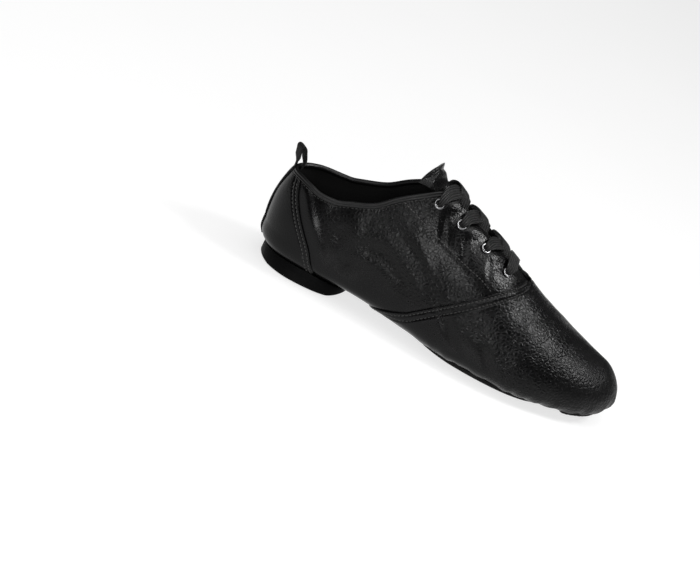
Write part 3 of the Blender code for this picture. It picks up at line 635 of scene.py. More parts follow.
leather = Finish("upper_leather", Specular_IOR_Level=0.17)
heel_part = 1 - leather.x.between(-0.088, -0.045)
low_part = 1 - leather.z.between(0.020, 0.044)
tight = (heel_part + low_part * leather.x.between(0.055, 0.030)).between(0.0, 1.1)
drift = leather.noise(500.0, 2.0)
warped = leather.node("ShaderNodeVectorMath", {"operation": "MULTIPLY_ADD"}, "Vector",
                      drift, (0.0009, 0.0009, 0.0009), leather.place)
pebble = leather.cells(400.0, "DISTANCE_TO_EDGE", warped).between(0.0, 0.30)
small_pebble = leather.cells(1050.0, "DISTANCE_TO_EDGE", warped).between(0.0, 0.30)
patchy = leather.noise(55.0, 4.0)
puffed = leather.z.between(0.050, 0.057) * leather.x.between(-0.040, -0.028)
puffed = puffed * (1.0 - leather.x.between(0.024, 0.032))
toe_part = leather.x.between(0.072, 0.108)
grain = (pebble + small_pebble * 0.22) * (1.0 - tight * 0.85) * (0.6 + patchy * 0.8)
grain = grain * (1.0 - puffed * 0.55)
pull = leather.noise(150.0, 2.0, leather.stretched(1.0, 0.7, 1.4))
rub = leather.noise(30.0, 5.0).between(0.56, 0.80)
tone = leather.blend(patchy, (0.0009, 0.0009, 0.0010), (0.0022, 0.0022, 0.0023))
tone = leather.blend(rub * 0.4, tone, (0.0055, 0.0054, 0.0055))
gloss = 0.29 - pebble * 0.06 + patchy * 0.04 + rub * 0.05 - tight * 0.03 - puffed * 0.03 + toe_part * 0.13
leather.feed(Base_Color=tone, Roughness=gloss,
             Normal=leather.bump(grain, 0.00015, 1.0, leather.bump(pull, 0.00012, 0.6)))
upper = add_piece("upper_leather", np.vstack([outer_skin, inner_skin]), all_faces, leather,
                  ("upper",), "black_leather", 50)

# Lining: the upper's inner face, a plain dark cloth
inside_cloth = Finish("lining_cloth", Roughness=0.85, Specular_IOR_Level=0.20)
inside_weave = inside_cloth.noise(900.0, 2.0) * 0.6 + inside_cloth.cells(1500.0) * 0.4
inside_cloth.feed(Base_Color=inside_cloth.blend(inside_cloth.noise(40.0), (0.004, 0.004, 0.004),
                                                (0.009, 0.0088, 0.0086)),
                  Normal=inside_cloth.bump(inside_weave, 0.0002, 0.6))
upper.data.materials.append(inside_cloth.material)
for number, polygon in enumerate(upper.data.polygons):
    if len(upper_faces) <= number < 2 * len(upper_faces):
        polygon.material_index = 1


# Collar binding
# A narrow strip of soft leather folded over the collar's edge and sewn down twice,
# which leaves two round ridges on the outside.
binding_grain = Finish("binding_leather", Specular_IOR_Level=0.30)
binding_bits = binding_grain.noise(2400.0) * 0.5 + binding_grain.cells(1300.0) * 0.5
binding_tone = binding_grain.blend(binding_grain.noise(90.0), (0.0015, 0.0015, 0.0016),
                                   (0.0040, 0.0040, 0.0041))
binding_grain.feed(Base_Color=binding_tone, Roughness=0.30 + binding_bits * 0.18,
                   Normal=binding_grain.bump(binding_bits, 0.00006, 0.6))
BINDING_PROFILE = ((0.00005, -0.0029), (0.00065, -0.0028), (0.00105, -0.0024), (0.00115, -0.0020),
                   (0.00100, -0.0016), (0.00078, -0.0014), (0.00085, -0.0011), (0.00112, -0.0008),
                   (0.00115, -0.0003), (0.00090, 0.0002), (0.00035, 0.0006), (-0.00040, 0.0007),
                   (-0.00125, 0.0005), (-0.00185, 0.0000), (-0.00215, -0.0008), (-0.00205, -0.0017),
                   (-0.00165, -0.0024), (-0.00110, -0.0027))


def square_to(along, arrows):
    """What of each arrow lies square to its line, one unit long."""
    return unit(arrows - (arrows * along).sum(axis=1, keepdims=True) * along)


def collar_path(count=130):
    """The collar's edge from the outer facing round the heel to the inner facing."""
    half_way = np.linspace(1, 0, count) * (corner_station - 0.0006)
    walk = [(q, -1) for q in half_way] + [(q, 1) for q in half_way[::-1][1:]]
    edge = np.array([last_point(q, top_angle(q, side), side) for q, side in walk])
    lower = np.array([last_point(q, top_angle(q, side) - 0.05, side) for q, side in walk])
    along = unit(np.gradient(edge, axis=0))
    rise = square_to(along, edge - lower)
    out = np.cross(rise, along)
    collar_middle = np.array([0.05, 0.0, 0.05])
    flip = np.where(((edge - collar_middle) * out)[:, :2].sum(axis=1) > 0, 1, -1)[:, None]
    return edge, rise, out * flip


def between_rings(first, second, size):
    """Faces between two rings of points, each known by the number of its first point."""
    return [[first + spot, first + (spot + 1) % size, second + (spot + 1) % size, second + spot]
            for spot in range(size)]


def tube_faces(rings, size):
    """Faces of a tube of rings of points, closed at both ends."""
    faces = [face for ring in range(rings - 1)
             for face in between_rings(ring * size, (ring + 1) * size, size)]
    return faces + [list(range(size))[::-1], [(rings - 1) * size + spot for spot in range(size)]]


collar_edge, collar_rise, collar_out = collar_path()
binding_points = [spot + out * away + rise * high
                  for spot, rise, out in zip(collar_edge, collar_rise, collar_out)
                  for away, high in BINDING_PROFILE]
add_piece("collar_binding", binding_points, tube_faces(len(collar_edge), len(BINDING_PROFILE)),
          binding_grain, (), "black_leather", 60)


# Stitching
# Black sewing thread, about 8 stitches to the inch, sunk a little in the leather:
# two rows beside the vamp seam and the back panel, one behind the eyelets.
thread = Finish("sewing_thread", Roughness=0.4, Specular_IOR_Level=0.20)
twist = thread.noise(3800.0, 2.0)
# The thread's colour follows the twist noise that also makes its bump: lighter on the raised twist as painted
# highlight, darker in its dips as painted shade.
thread.feed(Base_Color=thread.blend(twist, (0.012, 0.012, 0.012), (0.060, 0.059, 0.058)),
            Normal=thread.bump(twist, 0.0001, 0.5))
upper_tree = BVHTree.FromPolygons(outer_skin.tolist(), upper_faces)


def on_leather(line):
    """The line laid on the outside of the upper, with the directions out of it."""
    spots, outs = [], []
    for point in line:
        place, out = upper_tree.find_nearest(point.tolist())[:2]
        spots.append(list(place))
        outs.append(list(out))
    spots, outs = np.array(spots), np.array(outs)
    return spots, outs * np.where(((spots - shoe_middle) * outs).sum(axis=1) > 0, 1, -1)[:, None]


def beside(seam, side, away, low=0.10, high=0.995):
    """A line beside a seam, at a distance from it on the lapping panel."""
    line = seam_line(seam, side, 260)
    step = 0.002
    ahead = seam_line((seam[0] + step, seam[1] + step), side, 260)
    line = line + square_to(unit(np.gradient(line, axis=0)), ahead - line) * away
    return line[int(low * 259):int(high * 259)]


def at_run(start, run, rows):
    """The rows' value at a distance walked along their line."""
    return np.array([np.interp(start, run, column) for column in rows.T])


def stitch(middle, ahead, out, length, thick, rings):
    """Points and faces of one stitch, in rings of six: place along it, size and lift of each."""
    wide = np.cross(out, ahead)
    turns = [2 * math.pi * corner / 6 for corner in range(6)]
    points = [middle + ahead * place * length + out * thick * lift
              + (wide * math.cos(turn) + out * math.sin(turn)) * thick * size
              for place, size, lift in rings for turn in turns]
    return points, tube_faces(len(rings), 6)


def joined(bodies):
    """Points and faces of several bodies as one."""
    points, faces = [], []
    for own_points, own_faces in bodies:
        faces += [[spot + len(points) for spot in ring] for ring in own_faces]
        points += own_points
    return points, faces


def stitch_row(line, thick, pitch=0.0025, length=0.0019):
    """The stitches along a line on the leather."""
    spots, outs = on_leather(line)
    run = run_along(spots)
    stitches = []
    for start in np.arange(pitch / 2, run[-1] - pitch / 2, pitch):
        middle = at_run(start, run, spots)
        ahead = unit(at_run(start + pitch / 3, run, spots) - middle)
        stitches.append(stitch(middle, ahead, at_run(start, run, outs), length, thick,
                               ((-0.5, 0.35, -0.8), (-0.36, 0.9, 0.1), (0.0, 1.0, 0.45),
                                (0.36, 0.9, 0.1), (0.5, 0.35, -0.8))))
    return stitches


def add_stitches(name, lines, thick=0.00038):
    stitches = [one for line in lines for one in stitch_row(line, thick)]
    return add_piece(name, *joined(stitches), thread, (), "black_leather", 60)


add_stitches("vamp_stitches", [beside(vamp_seam, side, away)
                               for side in (-1, 1) for away in (0.0019, 0.0055)])
add_stitches("back_panel_stitches", [beside(counter_seam, side, away, 0.12, 0.97)
                                     for side in (-1, 1) for away in (-0.0018, -0.0042)])
add_stitches("facing_stitches", [facing_line(side) for side in (-1, 1)])
add_stitches("binding_stitches", [collar_edge + collar_out * 0.001 - collar_rise * 0.0034], 0.00022)


# Insole
# A thin sock of dark cloth on foam, its edges turned up a little against the walls.
sock_cloth = Finish("sock_cloth", Roughness=0.9, Specular_IOR_Level=0.20)
sock_weave = sock_cloth.cells(1400.0) * 0.6 + sock_cloth.noise(600.0) * 0.5
sock_cloth.feed(Base_Color=sock_cloth.blend(sock_cloth.noise(25.0, 4.0), (0.006, 0.006, 0.006),
                                            (0.016, 0.0155, 0.015)),
                Normal=sock_cloth.bump(sock_weave, 0.0003, 0.7))


def sheet_between(top, bottom, rows, columns):
    """Faces of a closed sheet between two grids with the same rows and columns."""
    count = rows * columns
    faces = []
    for row in range(rows - 1):
        for column in range(columns - 1):
            a = row * columns + column
            faces.append([a, a + 1, a + columns + 1, a + columns])
            faces.append([a + count, a + columns + count, a + columns + 1 + count, a + 1 + count])
    last = (rows - 1) * columns
    rim = [(column, column + 1) for column in range(columns - 1)]
    rim += [(row * columns + columns - 1, (row + 1) * columns + columns - 1) for row in range(rows - 1)]
    rim += [(last + column + 1, last + column) for column in reversed(range(columns - 1))]
    rim += [((row + 1) * columns, row * columns) for row in reversed(range(rows - 1))]
    return list(top) + list(bottom), faces + [[b, a, a + count, b + count] for a, b in rim]


sock_back, sock_front = 0.22 * heel_turn, 0.952 * foot_length
sock_middle, sock_reach = 0.5 * (sock_back + sock_front), 0.5 * (sock_front - sock_back)
sock_places = sock_middle - sock_reach * np.cos(np.linspace(0.02, math.pi - 0.02, 110))
sock_shares = np.sin(np.linspace(-1, 1, 27) * math.pi / 2)
sock_top, sock_bottom = [], []
for x in sock_places:
    end = max(0.02, 1 - (abs(x - sock_middle) / sock_reach) ** 3.0) ** (1 / 3.0)
    if x < heel_turn:
        end = math.sqrt(max(0.004, 1 - ((heel_turn - x) / (heel_turn - sock_back)) ** 2))
    for share in sock_shares:
        crest_here, half_here = last_section(max(x, heel_turn), 1 if share > 0 else -1)[:2]
        y = float(crest_here) + 0.77 * float(half_here) * end * share
        low = float(off_underside(x, y, wall + 0.0006))
        lip = 0.0004 * step_up(abs(share) - 0.93, 0.07)
        sock_bottom.append((x, y, low))
        sock_top.append((x, y, low + 0.0016 - lip))
sock_points, sock_faces = sheet_between(sock_top, sock_bottom, len(sock_places), len(sock_shares))
add_piece("sock", sock_points, sock_faces, sock_cloth, ("insole",), "insole_fabric", 50)


# Tongue
# One piece of the same soft leather, sewn under the throat, its top edge bound and rounded.
tongue_grain = Finish("tongue_grain", Specular_IOR_Level=0.25)
tongue_pebble = tongue_grain.cells(700.0, "DISTANCE_TO_EDGE").between(0.0, 0.32)
tongue_tone = tongue_grain.blend(tongue_grain.noise(70.0), (0.0015, 0.0015, 0.0016), (0.0040, 0.0040, 0.0041))
tongue_pull = tongue_grain.bump(tongue_grain.noise(130.0, 2.0), 0.00012, 0.5)
tongue_grain.feed(Base_Color=tongue_tone, Roughness=0.34 - tongue_pebble * 0.08,
                  Normal=tongue_grain.bump(tongue_pebble, 0.00008, 1.0, tongue_pull))
tongue_top = 0.320 * foot_length
tongue_half, tongue_top_half = 0.0175, 0.0150
tongue_arch, tongue_flare, tongue_tilt = 0.0045, 0.0082, 0.12
top_arch, corner_back, corner_blunt = 0.0040, 0.0085, 0.03
bead_height, bead_groove, padding = 0.0009, 0.0004, 0.0015
free_end = eyelet_stations[0] + 0.0020
free_length = free_end - tongue_top - tongue_arch
tongue_outer, tongue_inner = [], []
tongue_stations = tongue_top + (throat_end + 0.003 - tongue_top) * np.linspace(0, 1, 130) ** 1.7
tongue_shares = np.sin(np.linspace(-1, 1, 61) * math.pi / 2)
for x in tongue_stations:
    widen = step_up(x - eyelet_stations[0] + 0.0068, 0.0090)
    half_tongue = tongue_top_half + (tongue_half - tongue_top_half) * widen
    below = wall + 0.00066 + 0.00124 * step_up(throat_end - 0.006 - x, 0.014)
    from_top = x - tongue_top
    for share in tongue_shares:
        if share < 0:
            arch = top_arch - corner_back * (math.sqrt(share ** 2 + corner_blunt) - math.sqrt(corner_blunt))
        else:
            arch = top_arch * (1 - share ** 2) + 0.0030 * share ** 8
        placed = x + arch * max(0.0, 1 - from_top / 0.020)
        point, out_of = instep(placed, float(crest_at(placed)) + half_tongue * share)
        free = min(max((free_end - placed) / free_length, 0), 1)
        tilt = tongue_tilt if share < 0 else -tongue_tilt
        rise = tongue_flare * free ** 2.4 * (0.90 + tilt * share ** 2 - 0.30 * share ** 8)
        from_edge = min(from_top, (1 - abs(share)) * half_tongue)
        bead = bead_height * swell(from_edge, 0.0013, 0.0009) - bead_groove * swell(from_edge, 0.0030, 0.0006)
        bead *= 1.0 if from_top < 0.03 else 0.3
        padded = padding * step_up(from_top - 0.0030, 0.004) * step_up(free_end - x - 0.002, 0.008)
        padded *= max(0.0, 1 - share ** 2) ** 0.7
        wave = 0.00025 * math.sin(x * 260 + share * 2.0) * math.cos(share * 5 + x * 90)
        edge_round = 0.0007 * swell(from_edge, 0, 0.0006)
        tongue_outer.append(point - out_of * (below - rise - bead - padded - wave + edge_round))
        thick = 0.0016 + 0.0008 * step_up(free - 0.25, 0.3) + 0.3 * bead + 0.8 * padded
        tongue_inner.append(point - out_of * (below - rise + thick - wave - edge_round))
tongue_points, tongue_faces = sheet_between(tongue_outer, tongue_inner,
                                            len(tongue_stations), len(tongue_shares))
add_piece("tongue_leather", tongue_points, tongue_faces, tongue_grain, ("tongue",), "tongue_leather", 50)


# Heel
# A low block of black rubber moulded in one, glued under the seat, rounded behind and ramped in front.
tread = Finish("heel_rubber", Specular_IOR_Level=0.06)
tread_grit = tread.noise(1500.0, 4.0)
tread_scuff = tread.noise(60.0, 6.0, tread.stretched(0.5, 1.6, 1.0)).between(0.52, 0.75)
tread.feed(Base_Color=tread.blend(tread_scuff * 0.6, (0.0010, 0.0010, 0.0011), (0.0050, 0.0049, 0.0048)),
           Roughness=0.42 + tread_grit * 0.22, Normal=tread.bump(tread_grit, 0.0002, 0.6))
block_share, block_back_share = 0.90, 0.84
block_back = block_back_share * (heel_turn - float(back_line(last_section(heel_turn, 1)[5])))
block_outline = []
for number in range(160):
    angle = 2 * math.pi * number / 160
    forward = math.cos(angle)
    if forward <= 0:
        x = heel_turn + block_back * forward
        crest_here, half_here = last_section(heel_turn, math.sin(angle))[:2]
        y = float(crest_here) + block_share * float(half_here) * math.sin(angle)
    else:
        across = math.copysign(abs(math.sin(angle)) ** (2 / 2.5), math.sin(angle))
        x = heel_turn + (heel_front - heel_turn) * forward ** (2 / 2.5)
        crest_here, half_here = last_section(x, across)[:2]
        y = float(crest_here) + block_share * float(half_here) * across
    block_outline.append((x, y))


def plan_piece(outline, centre, top, bottom, shares):
    """Points and faces of a flat-lying piece, in rings from its middle to its outline."""
    outline, centre = np.asarray(outline), np.asarray(centre)
    count = len(outline)
    points, faces, rings = [], [], []
    for height in (top, bottom):
        own = []
        for share in shares:
            flat = centre + (outline - centre) * min(share, 1.0)
            own.append(len(points))
            points += [(x, y, z) for (x, y), z in zip(flat, height(flat[:, 0], flat[:, 1], share))]
        rings.append(own)
        hub = len(points)
        points.append((*centre, float(height(centre[:1], centre[1:], 0.0)[0])))
        faces += [[hub, own[0] + number, own[0] + (number + 1) % count] for number in range(count)]
        for first, second in zip(own, own[1:]):
            faces += between_rings(first, second, count)
    return points, faces + between_rings(rings[0][-1], rings[1][-1], count)


def block_low(x, y, share):
    """The heel's underside: rounded at its edge, more so behind, and ramped up in front."""
    to_back = np.clip((0.45 * heel_turn - x) / (0.45 * heel_turn), 0, 1)
    corner_lift = (0.0010 + 0.0030 * to_back) * np.clip((share - 0.88) / 0.12, 0, 1) ** 2
    ramp_length, ramp_rise = 0.01125, 0.00465
    return corner_lift + ramp_rise * np.clip((x - heel_front + ramp_length) / ramp_length, 0, 1) ** 1.6


def block_top(x, y, share):
    """The heel's top, against the seat, its edge eased."""
    return off_underside(x, y, -0.00105) - 0.0006 * max(0.0, (share - 0.985) / 0.015) ** 2


heel_points, heel_faces = plan_piece(block_outline, (heel_turn, 0.0), block_top, block_low,
                                     (0.3, 0.6, 0.8, 0.88, 0.92, 0.95, 0.975, 0.99, 1.0))
add_piece("heel_block", heel_points, heel_faces, tread, ("heel",), "heel_rubber", 38)


# Sole patches
# Black suede, skived thin: an oval under the ball and a crescent round the toe tip,
# each sewn on with two rows round its border.
nap = Finish("sole_suede", Specular_IOR_Level=0.20)
nap_fibre = nap.noise(1900.0, 5.0, rough=0.7)
nap_worn = nap.noise(42.0, 6.0, rough=0.6).between(0.42, 0.72)
nap.feed(Base_Color=nap.blend(nap_worn * 0.7, (0.0050, 0.0049, 0.0048), (0.0180, 0.0175, 0.0170)),
         Roughness=0.82 + nap_fibre * 0.15,
         Normal=nap.bump(nap_fibre, 0.0005, 0.9, nap.bump(nap.noise(260.0, 4.0), 0.0007, 0.6)))


def patch_outline(back, front, share, blunt_back, blunt_front, count):
    """A rounded outline over a share of the shoe's width, blunter where its power is higher."""
    middle, reach = 0.5 * (back + front), 0.5 * (front - back)
    spots = []
    for number in range(count):
        angle = 2 * math.pi * number / count
        blunt = blunt_front if math.cos(angle) > 0 else blunt_back
        along = math.copysign(abs(math.cos(angle)) ** (2 / blunt), math.cos(angle))
        across = math.copysign(abs(math.sin(angle)) ** (2 / blunt), math.sin(angle))
        x = middle + reach * along
        crest_here, half_here = last_section(max(x, heel_turn), across)[:2]
        spots.append((x, float(crest_here) + float(half_here) * share * across))
    return np.array(spots)


def patch_top(x, y, share):
    return off_underside(x, y, -0.0010)


def ball_patch_low(x, y, share):
    """The oval's underside on the floor, pressed up a little along its two rows of thread."""
    low = np.maximum(0.0, patch_top(x, y, share) - 0.0025)
    grooves = 0.0003 * sum(swell(share, row, 0.008) for row in ball_rows)
    return low + grooves + 0.0007 * np.clip((share - 0.965) / 0.035, 0, 1) ** 2


def toe_patch_low(x, y, share):
    """The crescent's underside, which keeps its thickness up the toe."""
    grooves = 0.0002 * sum(swell(share, row, 0.012) for row in toe_rows)
    return patch_top(x, y, share) - 0.0016 + grooves + 0.0005 * max(0.0, (share - 0.95) / 0.05) ** 2


def add_patch(name, replaced, outline, middle, low, rows):
    """Adds a patch; gives the short stitches of its rows, each a share of the way to its border."""
    rings = (0.15, 0.3, 0.45, 0.6, 0.7, 0.78, 0.83, 0.85, 0.865, 0.88, 0.9, 0.915, 0.93, 0.945,
             0.965, 0.985, 1.0)
    add_piece(name, *plan_piece(outline, middle, patch_top, low, rings), nap,
              (replaced,), "sole_suede", 50)
    pitch, length, thick = 0.0032, 0.0021, 0.00033
    stitches = []
    for share in rows:
        flat = np.asarray(middle) + (outline - np.asarray(middle)) * share
        flat = np.vstack([flat, flat[:1]])
        run = run_along(flat)
        for start in np.arange(0, run[-1] - pitch / 2, pitch):
            x, y = at_run(start, run, flat)
            ahead = np.append(unit(at_run(start + 0.0008, run, flat) - (x, y)), 0.0)
            centre = np.array([x, y, max(float(low(x, y, share)), 0.00035)])
            stitches.append(stitch(centre, ahead, np.array([0.0, 0.0, 1.0]), length, thick,
                                   ((-0.5, 0.4, 0), (-0.3, 1.0, 0), (0.3, 1.0, 0), (0.5, 0.4, 0))))
    return joined(stitches)


ball_rows, toe_rows = (0.865, 0.930), (0.80, 0.90)
toe_span = (0.882 * foot_length, foot_length - 0.0045)
ball_middle = (0.658 * foot_length, 0.002)
toe_middle = (0.5 * (toe_span[0] + toe_span[1]), 0.098 * ball_width)
ball_stitches = add_patch("ball_patch_suede", "forefoot_patch",
                          patch_outline(*patch_span, 0.80, 2.1, 2.5, 180),
                          ball_middle, ball_patch_low, ball_rows)
toe_stitches = add_patch("toe_patch_suede", "toe_patch",
                         patch_outline(*toe_span, 0.86, 5.0, 2.1, 140),
                         toe_middle, toe_patch_low, toe_rows)
add_piece("ball_patch_stitches", *ball_stitches, thread, (), "sole_suede", 60)
add_piece("toe_patch_stitches", *toe_stitches, thread, (), "sole_suede", 60)


# Back ribbon
# Black grosgrain tape sewn up the back seam, then folded over as the pull loop.
# Its end goes down inside the collar.
tape = Finish("grosgrain", Roughness=0.75, Specular_IOR_Level=0.20)
tape_along = tape.weave_place()[0]
tape_ribs = tape.wave(tape_along / 0.9)
# The tape's colour follows its ribs' height: lighter on each rib's crest as painted highlight, darker between
# the ribs as painted shade, over the ribs' bump.
tape.feed(Base_Color=tape.blend(tape_ribs, (0.002, 0.002, 0.002), (0.010, 0.010, 0.010)),
          Normal=tape.bump(tape_ribs, 0.0003, 0.6, tape.bump(tape.noise(1800.0), 0.0001, 0.6)))


# Section of a flat band with rounded edges, as shares of its half width and half thickness
band_corners = 16
band_turns = np.linspace(0, 2 * math.pi, band_corners, endpoint=False) + math.pi / band_corners
band_across = np.sign(np.cos(band_turns)) * np.abs(np.cos(band_turns)) ** 0.5
band_high = np.sign(np.sin(band_turns)) * np.abs(np.sin(band_turns)) ** 0.7


def through(knots, count):
    """Smooth curve through rows of values, spaced by their first three."""
    knots = np.asarray(knots, float)
    run = np.concatenate([[0], np.cumsum(np.sqrt(np.linalg.norm(np.diff(knots[:, :3], axis=0), axis=1)))])
    slope = np.gradient(knots, run, axis=0)
    at = np.linspace(0, run[-1], count)
    row = np.clip(np.searchsorted(run, at) - 1, 0, len(run) - 2)
    step = (run[row + 1] - run[row])[:, None]
    t = (at - run[row])[:, None] / step
    return (knots[row] * (1 + 2 * t) * (1 - t) ** 2 + knots[row + 1] * t * t * (3 - 2 * t)
            + step * slope[row] * t * (1 - t) ** 2 + step * slope[row + 1] * t * t * (t - 1))


ribbon_width, ribbon_thick = 0.0086, 0.0013
stand = 0.00130
tucked = wall + 0.0003 + ribbon_width ** 2 / (8 * 0.31 * heel_turn) + 0.0006
seam_angles = np.linspace(-math.pi / 2, float(top_angle(0.0, -1)), 200)
back_seam = last_point(np.zeros(200), seam_angles, -1)[:, [0, 2]]
seam_run = unit(np.gradient(back_seam, axis=0))
ribbon_spots = []
for z in np.linspace(heel_seat + 0.0048, collar_height, 14):
    x, ahead, up = (np.interp(z, back_seam[:, 1], row) for row in (back_seam[:, 0], *seam_run.T))
    ribbon_spots.append((x - up * stand, 0.0, z + ahead * stand))
loop_gap = 0.0030
top_x, _, top_z = ribbon_spots[-1]
for share in (0.25, 0.5, 0.75, 1.0):
    ribbon_spots.append((top_x - 0.0024 * share, 0.0, top_z + (0.0135 - loop_gap / 2) * share))
bend_x, bend_z = ribbon_spots[-1][0] + loop_gap / 2, ribbon_spots[-1][2]
for angle in (140, 105, 70, 35):
    ribbon_spots.append((bend_x + loop_gap / 2 * math.cos(math.radians(angle)), 0.0,
                         bend_z + loop_gap / 2 * math.sin(math.radians(angle))))
outer_x, inner_x = bend_x + loop_gap / 2, float(back_line(collar_height)) + tucked
for share in (0.15, 0.4, 0.7, 1.0):
    sag = 0.0008 * math.sin(math.pi * share)
    ribbon_spots.append(((1 - share) * outer_x + share * inner_x + sag,
                         0.0, bend_z + (top_z - bend_z) * share))
for z in np.linspace(top_z - 0.003, top_z - 0.0128, 4):
    ribbon_spots.append((float(back_line(z)) + tucked, 0.0, z))
ribbon_line = through(ribbon_spots, 170)
loop_turn = math.radians(34) * step_up(ribbon_line[:, 2] - collar_height - 0.001, 0.006)
ribbon_wide = np.stack([np.sin(loop_turn), -np.cos(loop_turn), np.zeros(170)], axis=-1)
ribbon_up = np.cross(unit(np.gradient(ribbon_line, axis=0)), ribbon_wide)
ribbon_points, ribbon_weave = [], []
for centre, wide, up, run in zip(ribbon_line, ribbon_wide, ribbon_up, run_along(ribbon_line)):
    for across, high in zip(band_across, band_high):
        ribbon_points.append(centre + wide * across * ribbon_width / 2 + up * high * ribbon_thick / 2)
        ribbon_weave.append((run * 1000, across * ribbon_width * 500))
ribbon_points = np.array(ribbon_points)
hugging = ribbon_points[:, 2] < collar_height - 0.001
ribbon_points[:, 0] += np.where(hugging, ribbon_points[:, 1] ** 2 * 18.0, 0)
add_piece("ribbon_tape", ribbon_points, tube_faces(len(ribbon_line), band_corners), tape,
          ("back_ribbon",), "ribbon_fabric", 60, ribbon_weave)


# Eyelets
# Small round eyelets of dark polished metal, pressed through the facing, four a side.
gunmetal = Finish("gunmetal", Metallic=1.0)
wear = gunmetal.noise(500.0, 4.0)
gunmetal.feed(Base_Color=gunmetal.blend(wear, (0.16, 0.16, 0.165), (0.32, 0.32, 0.325)),
              Roughness=0.13 + wear * 0.16)
eyelet_reach = 0.0175
EYELET_PROFILE = ((0.00225, -0.0020), (0.00260, -0.0020), (0.00262, 0.0000), (0.00290, 0.00034),
                  (0.00335, 0.00034), (0.00348, 0.00048), (0.00346, 0.00066), (0.00325, 0.00092),
                  (0.00298, 0.00106), (0.00268, 0.00106), (0.00242, 0.00092), (0.00228, 0.00064),
                  (0.00225, 0.00020))


def turned_ring(point, out, profile, count):
    """Points and faces of a ring turned about the direction out of the leather."""
    first = unit(np.cross(out, [0.0, 1.0, 0.0]))
    second = np.cross(out, first)
    size = len(profile)
    points = [point + (first * math.cos(angle) + second * math.sin(angle)) * radius + out * height
              for angle in np.linspace(0, 2 * math.pi, count, endpoint=False) for radius, height in profile]
    faces = [face for number in range(count)
             for face in between_rings(number * size, (number + 1) % count * size, size)]
    return points, faces


for word, side in (("lateral", -1), ("medial", 1)):
    for number, x in enumerate(eyelet_stations, 1):
        point, out = instep(x, float(crest_at(x)) + side * eyelet_reach)
        add_piece("rim_%s_%d" % (word, number), *turned_ring(point, out, EYELET_PROFILE, 48), gunmetal,
                  ("eyelet_%s_%d" % (word, number),), "eyelet_metal", 60)


# Laces
# One flat woven lace, 8 mm wide. It comes up through an eyelet, crosses the tongue and goes
# under the other facing to the next pair; its ends stop inside at the top pair.
lace_cloth = Finish("lace_weave", Roughness=0.45, Specular_IOR_Level=0.22)
lace_along, lace_across = lace_cloth.weave_place()
lace_rib = lace_cloth.wave(lace_across / 1.30)
lace_twill = lace_cloth.wave(lace_along / 0.85 + lace_rib * 0.9)
lace_height = lace_rib * 0.88 + lace_twill * 0.20
# The lace's colour follows the weave's height: lighter on the ribs as painted highlight, darker in the
# grooves between them as painted shade, over the same bump.
lace_cloth.feed(Base_Color=lace_cloth.blend(lace_height, (0.0005, 0.0005, 0.0005), (0.024, 0.024, 0.024)),
                Normal=lace_cloth.bump(lace_height, 0.0005, 1.0))


def lace_run(x, side, forward, crest_lift):
    """A band from its eyelet over the throat and under the other facing.

    Each row holds place forward, place across, lift, width and thickness.
    """
    reach = eyelet_reach
    rows = [(0.0, reach + 0.0006, -0.0030, 0.0032, 0.0017),
            (0.0002, reach + 0.0002, -0.0008, 0.0034, 0.0017),
            (0.0004, reach - 0.0006, 0.0010, 0.0042, 0.0015),
            (0.0008, reach - 0.0022, 0.0019, 0.0056, 0.0012),
            (0.0018, reach - 0.0050, 0.0019, 0.0070, 0.0010),
            (0.0045, 0.0085, 0.0016, 0.0078, 0.00095),
            (0.0085, 0.0020, crest_lift, 0.0078, 0.00095),
            (0.0110, -0.0035, crest_lift * 0.9, 0.0076, 0.00095),
            (0.0140, -0.0085, 0.0006, 0.0074, 0.00095),
            (0.0165, -0.0120, 0.0, 0.0070, 0.0009),
            (forward - 0.0005, -0.0155, 0.0, 0.0055, 0.0009)]
    return through([(x + row[0], side * row[1], 0.0) + row[2:] for row in rows], 90)


def lace_bar(x):
    """A band straight across from eyelet to eyelet: place across, lift, width and thickness."""
    reach = eyelet_reach
    half = [(reach + 0.0006, -0.0030, 0.0032, 0.0017), (reach + 0.0002, -0.0008, 0.0034, 0.0017),
            (reach - 0.0006, 0.0010, 0.0042, 0.0015), (reach - 0.0024, 0.0020, 0.0060, 0.0012),
            (0.0105, 0.0019, 0.0078, 0.00095), (0.0050, 0.0012, 0.0080, 0.00095)]
    rows = half + [(0.0, 0.0011, 0.0080, 0.00095)] + [(-row[0],) + row[1:] for row in half[::-1]]
    return through([(x, row[0], 0.0) + row[1:] for row in rows], 90)


def lay_lace(rows, side, dives):
    """Points and weave of a band laid over the instep; a diving one sinks under the far facing."""
    flat = rows[:, :2] + np.stack([np.zeros(len(rows)), crest_at(rows[:, 0])], axis=-1)
    run = np.gradient(flat, axis=0)
    run[:6] = run[6]
    run[-6:] = run[-7]
    run = unit(run)
    for smoothing in range(4):
        run[1:-1] = (run[:-2] + run[1:-1] * 2 + run[2:]) / 4
    wide = np.stack([run[:, 1], -run[:, 0]], axis=-1)
    steps = np.linalg.norm(np.diff(rows[:, :2], axis=0), axis=1) + 0.5 * np.abs(np.diff(rows[:, 3]))
    lengths = np.concatenate([[0], np.cumsum(steps)])
    points, weave = [], []
    for centre, across, length, (lift, width, thick) in zip(flat, wide, lengths, rows[:, 3:]):
        spots = centre + across * (band_across * width / 2)[:, None]
        surface, out = instep(spots[:, 0], spots[:, 1])
        beyond = -side * (spots[:, 1] - crest_at(spots[:, 0]))
        sink = step_up(beyond - 0.0045, 0.0042) if dives else 0.0
        high = (1 - sink) * lift + sink * -0.00235
        points += list(surface + out * (high + band_high * thick / 2)[:, None])
        weave += [(length * 1000, value * 500) for value in band_across * width]
    return points, weave


def add_lace(name, replaced, bands):
    """One piece of lace, of one or two bands."""
    body = joined([(points, tube_faces(len(points) // band_corners, band_corners))
                   for points, weave in bands])
    add_piece(name, *body, lace_cloth, (replaced,), "lace_fabric", 60,
              [spot for points, weave in bands for spot in weave])


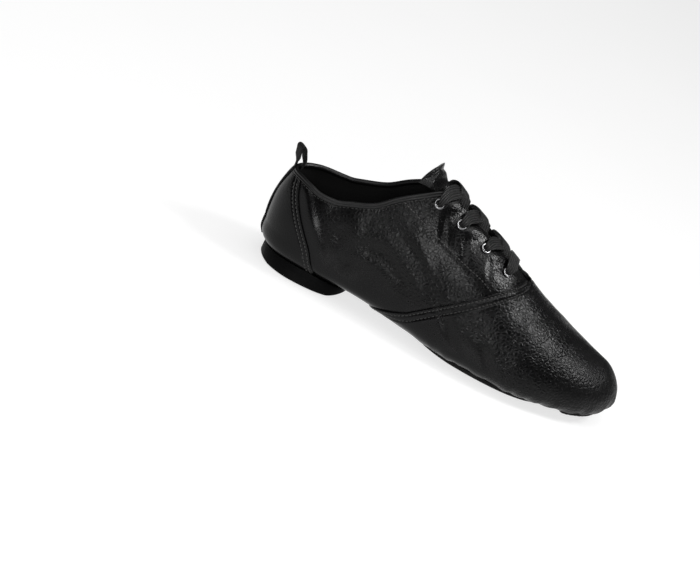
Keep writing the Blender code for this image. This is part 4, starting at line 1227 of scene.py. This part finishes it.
for number, (x, follow) in enumerate(zip(eyelet_stations[:-1], eyelet_stations[1:]), 1):
    add_lace("crossed_lace_%d" % number, "lace_crossing_%d" % number,
             [lay_lace(lace_run(x, side, follow - x, crest_lift), side, True)
              for side, crest_lift in ((-1, 0.0006), (1, 0.0019))])
add_lace("straight_lace", "lace_bar", [lay_lace(lace_bar(eyelet_stations[3]), -1, False)])


# Floor and light
# A plain pale floor in a plain studio: large soft lights overhead and left of the camera,
# a small one beyond the toe and the smallest low in front of the shoe.
floor = bpy.data.objects.new("floor", bpy.data.meshes.new("floor"))
floor.data.from_pydata([(-4, -4, 0), (4, -4, 0), (4, 4, 0), (-4, 4, 0)], [], [(0, 1, 2, 3)])
floor_finish = Finish("floor_paint", Roughness=0.35, Specular_IOR_Level=0.4, Emission_Strength=0.74)
floor_tone = floor_finish.blend(floor_finish.noise(3.0), (0.29, 0.29, 0.29), (0.31, 0.31, 0.31))
floor_glow = floor_finish.blend(floor_finish.noise(3.0), (0.98, 0.98, 0.98), (1.0, 1.0, 1.0))
floor_finish.feed(Base_Color=floor_tone, Emission_Color=floor_glow)
floor.data.materials.append(floor_finish.material)
bpy.context.scene.collection.objects.link(floor)
for name, power, size, place in (("top_light", 20.0, 1.60, (0.38, 0.03, 2.10)),
                                 ("left_light", 11.0, 1.30, (-0.42, -0.85, 1.41)),
                                 ("toe_light", 9.5, 0.30, (0.790, 0.045, 1.030)),
                                 ("front_light", 1.00, 0.15, (0.005, -0.605, 0.250))):
    light = bpy.data.objects.new(name, bpy.data.lights.new(name, "AREA"))
    light.data.energy = power
    light.data.size = size
    aim = np.array([0.0, 0.0, 0.04]) - np.array(place)
    aim = aim / np.linalg.norm(aim)
    across = np.cross(aim, [0.0, 0.0, 1.0])
    across = across / np.linalg.norm(across)
    facing = Matrix(np.column_stack([across, np.cross(across, aim), -aim]))
    light.matrix_world = Matrix.Translation(place) @ facing.to_4x4()
    bpy.context.scene.collection.objects.link(light)
world = bpy.data.worlds.new("studio")
world.use_nodes = True
world.node_tree.nodes["Background"].inputs["Color"].default_value = (1.0, 1.0, 1.0, 1)
world.node_tree.nodes["Background"].inputs["Strength"].default_value = 0.06
bpy.context.scene.world = world
bpy.context.scene.view_settings.view_transform = "Standard"
